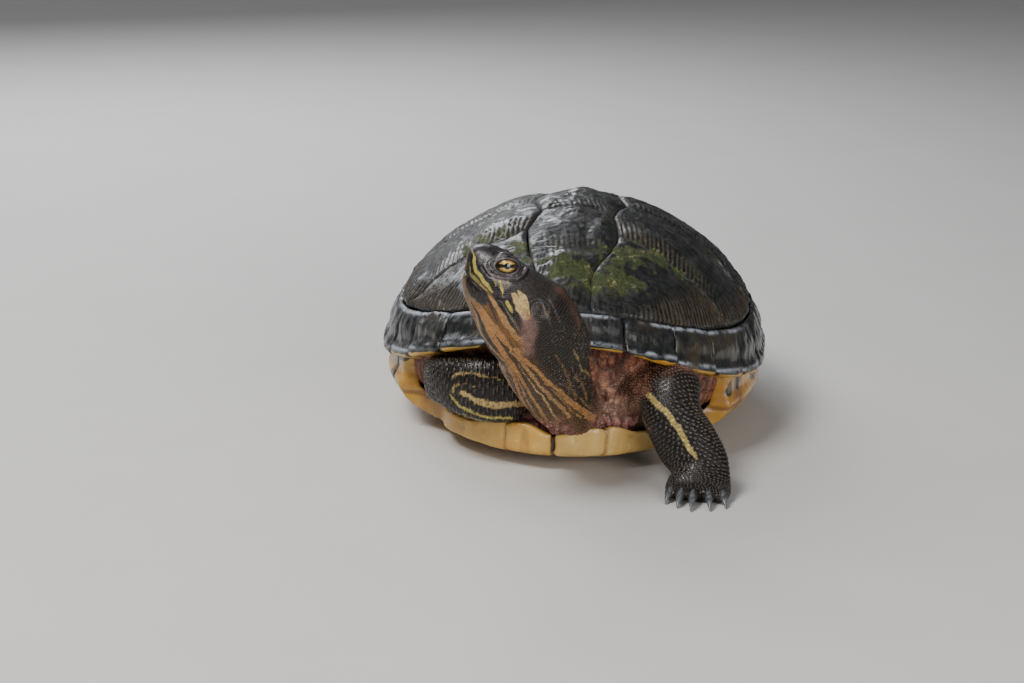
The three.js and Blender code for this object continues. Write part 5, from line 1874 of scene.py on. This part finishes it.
# %% [markdown]
# The loose skin of the pockets and shoulders lies in wrinkles, which cross each other where
# the limb pulls it both ways. On the neck every pale line is a low ridge of its own.

# %% Wrinkle the skin
def wrinkles(points, marks):
    x, y, _ = points.T
    relief = 0.6 * marks["pink"] * lumps(points * (1, 1, 0.55), 4.5, 4.0) - 1.0 * marks["shaded_crease"]
    relief *= np.where(y < -60, 1.0, 0.5)
    on_neck = (in_head(points)[:, 0] < -24) & (y < -95) & (np.abs(x) < 34)
    lines = 0.3 * (marks["pale"] - 0.4) + 0.18 * creased(points, 3.1, 6.0)
    return relief + on_neck * lines * (1 - marks["pink"]) + 0.06 * lumps(points, 1.6, 3.0)


points, normals = corners_of(skin)
marks = paint(points)
place_corners(skin, points + normals * wrinkles(points, marks)[:, None])
print("skin painted; pale share", round(float((marks["pale"] > 0.5).mean()), 3))

# %% [markdown]
# ## What skin is made of
# Wet reptile skin is dark and shines in small patches. Its colour comes from the painted
# numbers: black to grey-violet below, then ochre, the lines in lemon, cream or orange, and the
# bare pink on top, mottled like raw skin. Light and shade are painted in too: pools of painted
# light on the bare skin of the front pockets, painted shade in its creases, in the creases of
# the lids and between the scales and at their feet, and a painted highlight on the lid folds
# and on the free edges of the scales.

# %% Skin material
def skin_finish(name, gloss):
    finish = Finish(name, Roughness=gloss, IOR=1.42)
    pale, tone, pink, dark, ochre, ash, lit_skin, mauve, shaded_crease = map(
        finish.painted, ("pale", "tone", "pink", "dark", "ochre", "ash", "lit_skin", "mauve", "shaded_crease"))
    fine = finish.noise(1.3, detail=4)
    broad = finish.noise(9)
    grey = finish.mix(broad.ramp(0.35, 0.65), (0.024, 0.021, 0.025), (0.056, 0.048, 0.058))
    black = finish.mix(fine.ramp(0.45, 0.7), (0.0055, 0.004, 0.003), (0.021, 0.013, 0.008))
    ground = finish.mix(dark.ramp(0.25, 0.85), grey, black)
    gold = finish.mix(broad.ramp(0.3, 0.7), (0.17, 0.068, 0.012), (0.30, 0.130, 0.022))
    ground = finish.mix(ochre * 0.9, ground, gold)
    early = finish.mix(tone.ramp(0.0, 0.35), (0.56, 0.49, 0.11), (0.60, 0.43, 0.17))
    late = finish.mix(tone.ramp(0.7, 1.0), (0.46, 0.255, 0.095), (0.47, 0.225, 0.068))
    line = finish.mix(tone.ramp(0.35, 0.7), early, late)
    line = finish.mix(fine.ramp(0.42, 0.7) * 0.6, line, (0.17, 0.075, 0.022))
    colour = finish.mix(pale.ramp(0.1, 0.75), ground, line)
    raw = finish.mix(broad.ramp(0.38, 0.62), (0.15, 0.042, 0.020), (0.40, 0.155, 0.090))
    raw = finish.mix(fine.ramp(0.5, 0.72) * 0.55, raw, (0.09, 0.030, 0.026))
    # The colour of the painted pool of light on the bare skin
    light = finish.mix(fine.ramp(0.35, 0.65), (0.86, 0.52, 0.38), (0.50, 0.23, 0.14))
    raw = finish.mix(lit_skin, raw, light)
    plum = finish.mix(fine.ramp(0.4, 0.6), (0.70, 0.32, 0.31), (0.27, 0.09, 0.09))
    raw = finish.mix(mauve * 0.85, raw, plum)
    # Painted shade in the creases of the bare skin
    raw = finish.mix(shaded_crease * 0.9, raw, (0.040, 0.014, 0.011))
    colour = finish.mix(pink, colour, raw)
    # Pale grey-violet; on the lid folds it is a painted highlight
    colour = finish.mix(ash * (1 - pale.ramp(0.1, 0.6)), colour, (0.25, 0.205, 0.205))
    # Less of the scales' painted shade and highlight on bare pink skin
    cover = pink * -0.75 + 1
    if name == "scales":
        shade = finish.painted("shade")
        speck = shade.ramp(0.55, 0.9) * finish.painted("speck")
        colour = finish.mix(speck, colour, (0.13, 0.085, 0.050))
        colour = finish.mix(shade.ramp(0.6, 0.0) * 0.45 * cover, colour, (0.012, 0.008, 0.006))
        # Painted highlight on the free edge of each scale's top
        colour = finish.mix(finish.painted("lip") * 0.4, colour, (0.19, 0.16, 0.135))
        # Painted shade at the foot of each scale, where it meets the skin
        colour = finish.mix(finish.painted("foot") * (pale * -0.4 + 0.7) * cover, colour,
                            (0.007, 0.005, 0.004))
    else:
        # Painted shade between the scales: the skin under them is darkened
        colour = finish.mix(finish.painted("gap") * (pale * -0.35 + 0.6) * cover, colour,
                            (0.010, 0.007, 0.005))
    finish.set(Base_Color=colour, Roughness=fine.ramp(0.3, 0.7) * 0.25 + (gloss - 0.12))
    finish.bump(finish.noise(0.7, detail=4), 0.12, 0.5)
    return finish.material


FLESH = ["neck", "head", "lower_jaw", "trunk", "tail", "foreleg_left", "forefoot_left",
         "foreleg_right", "forefoot_right", "hind_leg_left", "hind_foot_left", "hind_leg_right",
         "hind_foot_right"]
points, _ = corners_of(skin)
_, _, ratio = eye_plane(in_head(points))
# Skin that lies under scales, to be darkened with painted shade between them, but not round the eyes
marks["gap"] = 1.0 - ((ratio < 2.5) & (points[:, 2] > 70))
skin_tree = BVHTree.FromBMesh(skin)
skin_piece = finish_piece(skin, "skin", skin_finish("wet_skin", 0.34), marks, FLESH)
print("skin:", triangles(skin_piece), "triangles")

# %% [markdown]
# ## Eyes
# A slider's iris is brass yellow with a black bar straight across, in line with the stripes of
# the cheek, so that the eye does not give the animal away. The eyeball is a ball whose front is
# painted by the distance from its axis. It bulges there as a cornea does, and a clear coat
# catches the light.

# %% Eyeballs
def eye_finish():
    finish = Finish("iris", Roughness=0.12, Coat_Weight=1.0, Coat_Roughness=0.03, IOR=1.38)
    radius, bar = finish.painted("radius"), finish.painted("bar")
    grain = finish.noise(0.5, detail=4)
    gold = finish.mix(grain.ramp(0.35, 0.7), (0.22, 0.11, 0.02), (0.62, 0.42, 0.10))
    gold = finish.mix(radius.ramp(1.6, 2.1) * radius.ramp(2.5, 2.2), gold, (0.72, 0.50, 0.15))
    gold = finish.mix(radius.ramp(3.0, 4.0) * 0.8, gold, (0.24, 0.085, 0.02))
    # Painted shade of the upper lid: darker orange-brown towards the top of the iris
    gold = finish.mix(finish.painted("rise").ramp(1.3, 2.6) * 0.8, gold, (0.30, 0.085, 0.02))
    black = (0.004, 0.004, 0.004)
    edge = bar + grain * 0.35 - 0.17
    streak = edge.ramp(1.05, 0.7) * radius.ramp(4.6, 3.6)
    colour = finish.mix(streak, gold, black)
    colour = finish.mix(radius.ramp(4.0, 4.5), colour, (0.02, 0.012, 0.01))
    colour = finish.mix(radius.ramp(1.55, 1.35), colour, black)
    ring = radius.ramp(1.35, 1.5) * radius.ramp(1.95, 1.7) * edge.ramp(0.5, 0.9)
    colour = finish.mix(ring, colour, (0.66, 0.46, 0.13))
    finish.set(Base_Color=colour)
    return finish.material


iris = eye_finish()
for side, word in SIDES:
    bm = bmesh.new()
    bmesh.ops.create_uvsphere(bm, u_segments=64, v_segments=48, radius=EYE_RADIUS)
    x, y, z = corners_of(bm)[0].T
    values = {"radius": np.hypot(x, y) + 9.0 * (z < 0), "bar": np.abs(y), "rise": y}
    for vert in bm.verts:
        if vert.co.z > 3.6:
            vert.co.z += 0.25 * (1 - (vert.co.xy.length / 3.47) ** 2)
    look = np.array([*(LEVEL @ HEAD_AXES[:2]), HEAD_AXES[2] * side])
    place = Matrix.Translation(from_head((0, 0, side * EYE_OUT))) @ Matrix(look.T).to_4x4()
    bmesh.ops.transform(bm, matrix=place, verts=bm.verts)
    finish_piece(bm, f"eye_{word}", iris, values, [f"eye_{word}"])
print("eyes look level, along", LEVEL[0].tolist(), "of the head")

# %% [markdown]
# ## Claws
# Claws are long, hardly bent and slate-coloured. Each is a narrow bent cone, lofted along the
# same path as the solid's, and its root lies on the back of its toe.

# %% Claws
def claw_finish():
    finish = Finish("claw_horn", Roughness=0.3)
    along = finish.painted("along")
    streaks = finish.noise(0.8, detail=3)
    dark = finish.mix(streaks.ramp(0.35, 0.7), (0.030, 0.034, 0.040), (0.150, 0.165, 0.180))
    finish.set(Base_Color=finish.mix(along.ramp(0.55, 1.0) * 0.5, dark, (0.16, 0.15, 0.13)))
    finish.bump(streaks, 0.1, 0.4)
    return finish.material


CLAW_FACETS = 14


def claw_rings(toe):
    root, knuckle, tip = np.array(toe, float)
    bend = (knuckle + tip) / 2 + (0, 0, 1.2)
    at = lambda start, end, share, rise: start + (end - start) * share + (0, 0, rise)
    rows = [(*at(knuckle, root, 0.35, 1.5), 0.9, 0.8), (*at(knuckle, bend, 0.2, 0.9), 1.5, 1.5),
            (*at(knuckle, bend, 0.65, 0), 1.6, 1.5), (*bend, 1.4, 1.3),
            (*at(bend, tip, 0.5, 0.25), 0.95, 0.85), (*tip, 0.28, 0.25)]
    return body_rings(limb_stations(rows), 14, CLAW_FACETS, 0.0)


FEET = dict(arm_left="forefoot_left", arm_right="forefoot_right", leg_left="hind_foot_left",
            leg_right="hind_foot_right")
horn_of_claws = claw_finish()
for limb, foot in FEET.items():
    for number, toe in enumerate(LIMBS[limb]["toes"], 1):
        rings = claw_rings(toe)
        along = np.repeat(np.linspace(0, 1, len(rings)), CLAW_FACETS)
        finish_piece(loft(rings), f"claw_{foot}_{number}", horn_of_claws, {"along": along}, [foot])
print("claws:", sum(len(LIMBS[limb]["toes"]) for limb in FEET))

# %% [markdown]
# ## Scales
# The neck is sown with granules less than a millimetre wide, the forelegs carry broad plates
# in cross rows, and the face and toes have the smallest scales of all. Scales stand in rows
# round each body, every other row shifted by half a place, as in a honeycomb. One six-sided
# scale is lofted, and its corners are laid on the skin again and again, each copy turned and
# stretched to its own place. Each corner asks for its markings as the skin's own corners do.

# %% One scale and its copies
sixths = np.radians(np.arange(0, 360, 60))
six = np.stack([np.cos(sixths), np.sin(sixths), sixths * 0], -1)
scale = loft([six, six * 0.6 + (0, 0, 1)])
SCALE_SHAPE, _ = corners_of(scale)
SCALE_FACES = [[vert.index for vert in face.verts] for face in scale.faces]
scale_size = sum(len(face) - 2 for face in SCALE_FACES)
SINK = 0.1
print("one scale:", scale_size, "triangles")

# Where each body's patch lies in the unwrap: left, bottom, width, height
CHART = dict(
    neck=(0.02, 0.02, 0.46, 0.96), arm_left=(0.52, 0.55, 0.21, 0.43), arm_right=(0.77, 0.55, 0.21, 0.43),
    leg_left=(0.52, 0.27, 0.21, 0.21), leg_right=(0.77, 0.27, 0.21, 0.21), tail=(0.52, 0.02, 0.1, 0.22),
    fold_left=(0.65, 0.02, 0.1, 0.22), fold_right=(0.77, 0.02, 0.1, 0.22), trunk=(0.89, 0.02, 0.09, 0.22),
)


def rows_of(sheet, start, end, pitch, broad, loose=0.12):
    """Roots in staggered rows: share, turn, half length and half width of each scale."""
    shares = np.linspace(start, end, 400)
    middle = np.stack([sheet.at(shares, turn + shares * 0) for turn in range(0, 360, 15)])
    steps = np.linalg.norm(np.diff(middle, axis=1), axis=-1).mean(0)
    run = run_of(steps / (0.866 * pitch(shares[1:])))
    rows = np.interp(np.arange(0.5, run[-1]), run, shares)
    found = []
    for number, share in enumerate(rows):
        loop = sheet.at(np.full(73, share), np.linspace(0, 360, 73))
        girth = np.linalg.norm(np.diff(loop, axis=0), axis=-1).sum()
        across = pitch(share) * broad(share)
        count = max(6, int(round(girth / across)))
        turns = (np.arange(count) + 0.5 * (number % 2) + rng.uniform(-loose, loose, count)) * 360 / count
        half = np.full(count, pitch(share) * 0.577)
        wide = np.full(count, girth / count * 0.577)
        slip = rng.uniform(-loose, loose, count) * (rows[1] - rows[0])
        found.append(np.stack([np.clip(share + slip, 0, 1), turns, half, wide], -1))
    return np.concatenate(found)


def on_skin(points):
    """Nearest places of the skin, its normals there and the distances."""
    found = [skin_tree.find_nearest(point) for point in points.tolist()]
    return [np.array([item[k] for item in found]) for k in (0, 1, 3)]


def lay_scales(name, sheet, roots, height, toward=1.0):
    """Copies of the scale on the skin: corners, roots and their places in the chart."""
    share, turn, half, wide = roots.T
    start = sheet.at(share, turn)
    spot, normal, away = on_skin(start)
    lean = sheet.at(np.minimum(share + 0.004, 0.999), turn) - sheet.at(share - 0.004, turn)
    out = np.cross(lean, sheet.at(share, turn + 3) - start)
    out *= np.sign(np.sum(out * normal, -1, keepdims=True))
    facing = np.sum(unit(out + 1e-9) * normal, -1)
    keep = (away < 1.7) & (facing > 0.5) & ~hidden_from_sight(spot) & (spot[:, 2] > 0.6)
    if name not in TOE_SHEETS:
        weight, _, _ = whereabouts(spot[keep])[name]
        keep[keep] = weight > 0.5
    share, turn, half, wide = roots[keep].T
    spot, normal, lean = spot[keep], normal[keep], lean[keep] * toward
    high = height(share, turn, spot) * rng.uniform(0.75, 1.2, len(spot))
    lean = square_to(lean, normal)
    side = np.cross(normal, lean)
    swing = rng.uniform(-0.12, 0.12, len(spot))[:, None]
    lean, side = lean + side * swing, side - lean * swing
    size = rng.uniform(0.84, 0.98, (len(spot), 1, 1))
    flat = (spot[:, None] + lean[:, None] * (half[:, None] * SCALE_SHAPE[:6, 0])[..., None] * size
            + side[:, None] * (wide[:, None] * SCALE_SHAPE[:6, 1])[..., None] * size)
    base, bent, _ = on_skin(flat.reshape(-1, 3))
    base, bent = base.reshape(flat.shape), bent.reshape(flat.shape)
    free = 1 + 0.3 * SCALE_SHAPE[:6, 0]
    top = spot[:, None] * 0.4 + base * 0.6 + normal[:, None] * (high[:, None] * free)[..., None]
    corners = np.concatenate([base - bent * SINK, top], axis=1)
    corners[..., 2] = np.maximum(corners[..., 2], 0)
    left, bottom, width, tall = CHART.get(name, CHART["tail"])
    chart = np.stack([left + width * (turn % 360) / 360, bottom + tall * share], -1)
    return corners, spot, chart


def speckled(points):
    """Where single pale granules are strewn: on the dark side of the neck."""
    away, share, turn = SHEETS["neck"].find(points, 3.0)
    zone = ease(share, 0.42, 0.34) * ease(from_throat(turn), 70, 90) * (away < 3)
    return zone * ease(lumps(points, 7.0, 3.3), -0.5, 0.3)


def coat_piece(name, corners, roots, chart, nodes):
    """Joins the copies into one mesh, painted corner by corner."""
    count = len(corners)
    faces = [[corner + 12 * k for corner in face] for k in range(count) for face in SCALE_FACES]
    mesh = bpy.data.meshes.new(name)
    mesh.from_pydata((corners.reshape(-1, 3) / 1000).tolist(), [], faces)
    marks = paint(corners.reshape(-1, 3))
    marks["shade"] = np.repeat(rng.uniform(0, 1, count), 12)
    marks["speck"] = np.repeat(speckled(roots), 12)
    # Corners of the free edge for the painted highlight, and of the foot for the painted shade
    marks["lip"] = np.tile(np.append(np.zeros(6), np.clip(SCALE_SHAPE[:6, 0], 0, 1)), count)
    marks["foot"] = np.tile([1.0] * 6 + [0.0] * 6, count)
    uv = mesh.uv_layers.new(name="OFBake")
    corner = np.array([loop.vertex_index for loop in mesh.loops])
    spread = np.tile(SCALE_SHAPE[:, :2], (count, 1)) * 0.0015
    uv.data.foreach_set("uv", (np.repeat(chart, 12, 0) + spread)[corner].ravel().astype(np.float32))
    ride_as(name, mesh, scale_material, marks, nodes)
    return count


# %% Sow the scales
TOE_SHEETS = {}
for limb in FEET:
    for number, toe in enumerate(LIMBS[limb]["toes"]):
        key = f"{limb}_toe_{number}"
        CHART[key] = (0.52 + 0.025 * len(TOE_SHEETS), 0.495, 0.018, 0.04)
        TOE_SHEETS[key] = Sheet(body_rings(toe_stations(toe), 12, 16))


def neck_height(share, turn, spot):
    local = in_head(spot)
    _, _, ratio = eye_plane(local)
    mouth, _ = line_distance(local[:, :2], MOUTH)
    fade = 0.25 - 0.19 * ease(share, 0.36, 0.56)
    near_eye = (ratio < 2.5) & (share > 0.5)
    return np.where(near_eye | ((mouth < 1.1) & (share > 0.5)), 0.0, fade)


even = lambda value: (lambda *_: value)
varied = lambda shares, values: (lambda share: np.interp(share, shares, values))
# First and last share, length and breadth of a scale along the body, height, and which way it lies
BODY_SCALES = {
    "neck": (0.0, 0.68, varied([0, 0.3, 0.42, 0.55], [1.5, 1.25, 0.95, 0.8]), even(1.0), neck_height,
             -1.0),
    "arm_left": (0.0, 0.995, varied([0, 0.25, 0.4, 0.7, 0.9], [1.4, 1.6, 2.0, 1.7, 1.2]),
                 varied([0.25, 0.4, 0.65, 0.8], [1.0, 1.35, 1.35, 1.0]), even(0.3), 1.0),
    "arm_right": (0.0, 0.995, varied([0, 0.6, 1], [1.7, 1.9, 1.1]),
                  varied([0, 0.2, 0.6, 0.8], [1.6, 2.9, 2.4, 1.1]), even(0.34), 1.0),
    "leg_left": (0.0, 0.995, varied([0, 0.5, 1], [1.6, 1.9, 1.2]), even(1.1), even(0.28), 1.0),
    "tail": (0.05, 0.99, lambda share: 1.4 - 0.5 * share, even(1.1), even(0.22), 1.0),
    "fold_left": (0.0, 1.0, even(1.35), even(1.0), even(0.14), 1.0),
    "trunk": (0.05, 0.97, even(1.4), even(1.0), even(0.14), -1.0),
}
BODY_SCALES["leg_right"] = BODY_SCALES["leg_left"]
BODY_SCALES["fold_right"] = BODY_SCALES["fold_left"]
COVERS = dict(
    neck=["neck", "head", "lower_jaw"], arm_left=["foreleg_left", "forefoot_left"],
    arm_right=["foreleg_right", "forefoot_right"], leg_left=["hind_leg_left", "hind_foot_left"],
    leg_right=["hind_leg_right", "hind_foot_right"], tail=["tail"], fold_left=["trunk"],
    fold_right=["trunk"], trunk=["trunk"],
)
scale_material = skin_finish("scales", 0.30)
MOST = 190_000 // scale_size
sown = 0
for name, (start, end, pitch, broad, height, toward) in BODY_SCALES.items():
    bare = name.startswith("fold") or name == "trunk"
    roots = rows_of(SHEETS[name], start, end, pitch, broad, 0.45 if bare else 0.17)
    groups = [lay_scales(name, SHEETS[name], roots, height, toward)]
    for key, sheet in TOE_SHEETS.items():
        if key.startswith(name):
            rows = rows_of(sheet, 0.25, 0.9, even(1.05), even(1.2))
            groups.append(lay_scales(key, sheet, rows, even(0.2)))
    corners, spots, chart = (np.concatenate(part) for part in zip(*groups))
    lifted = np.linalg.norm(corners[:, 6:].mean(1) - corners[:, :6].mean(1), axis=-1) > SINK + 0.02
    corners, spots, chart = corners[lifted], spots[lifted], chart[lifted]
    for part, first in enumerate(range(0, len(corners), MOST), 1):
        cut = slice(first, first + MOST)
        sown += coat_piece(f"scales_{name}_{part}", corners[cut], spots[cut], chart[cut], COVERS[name])
print("scales:", sown, "in all,", sown * scale_size, "triangles")
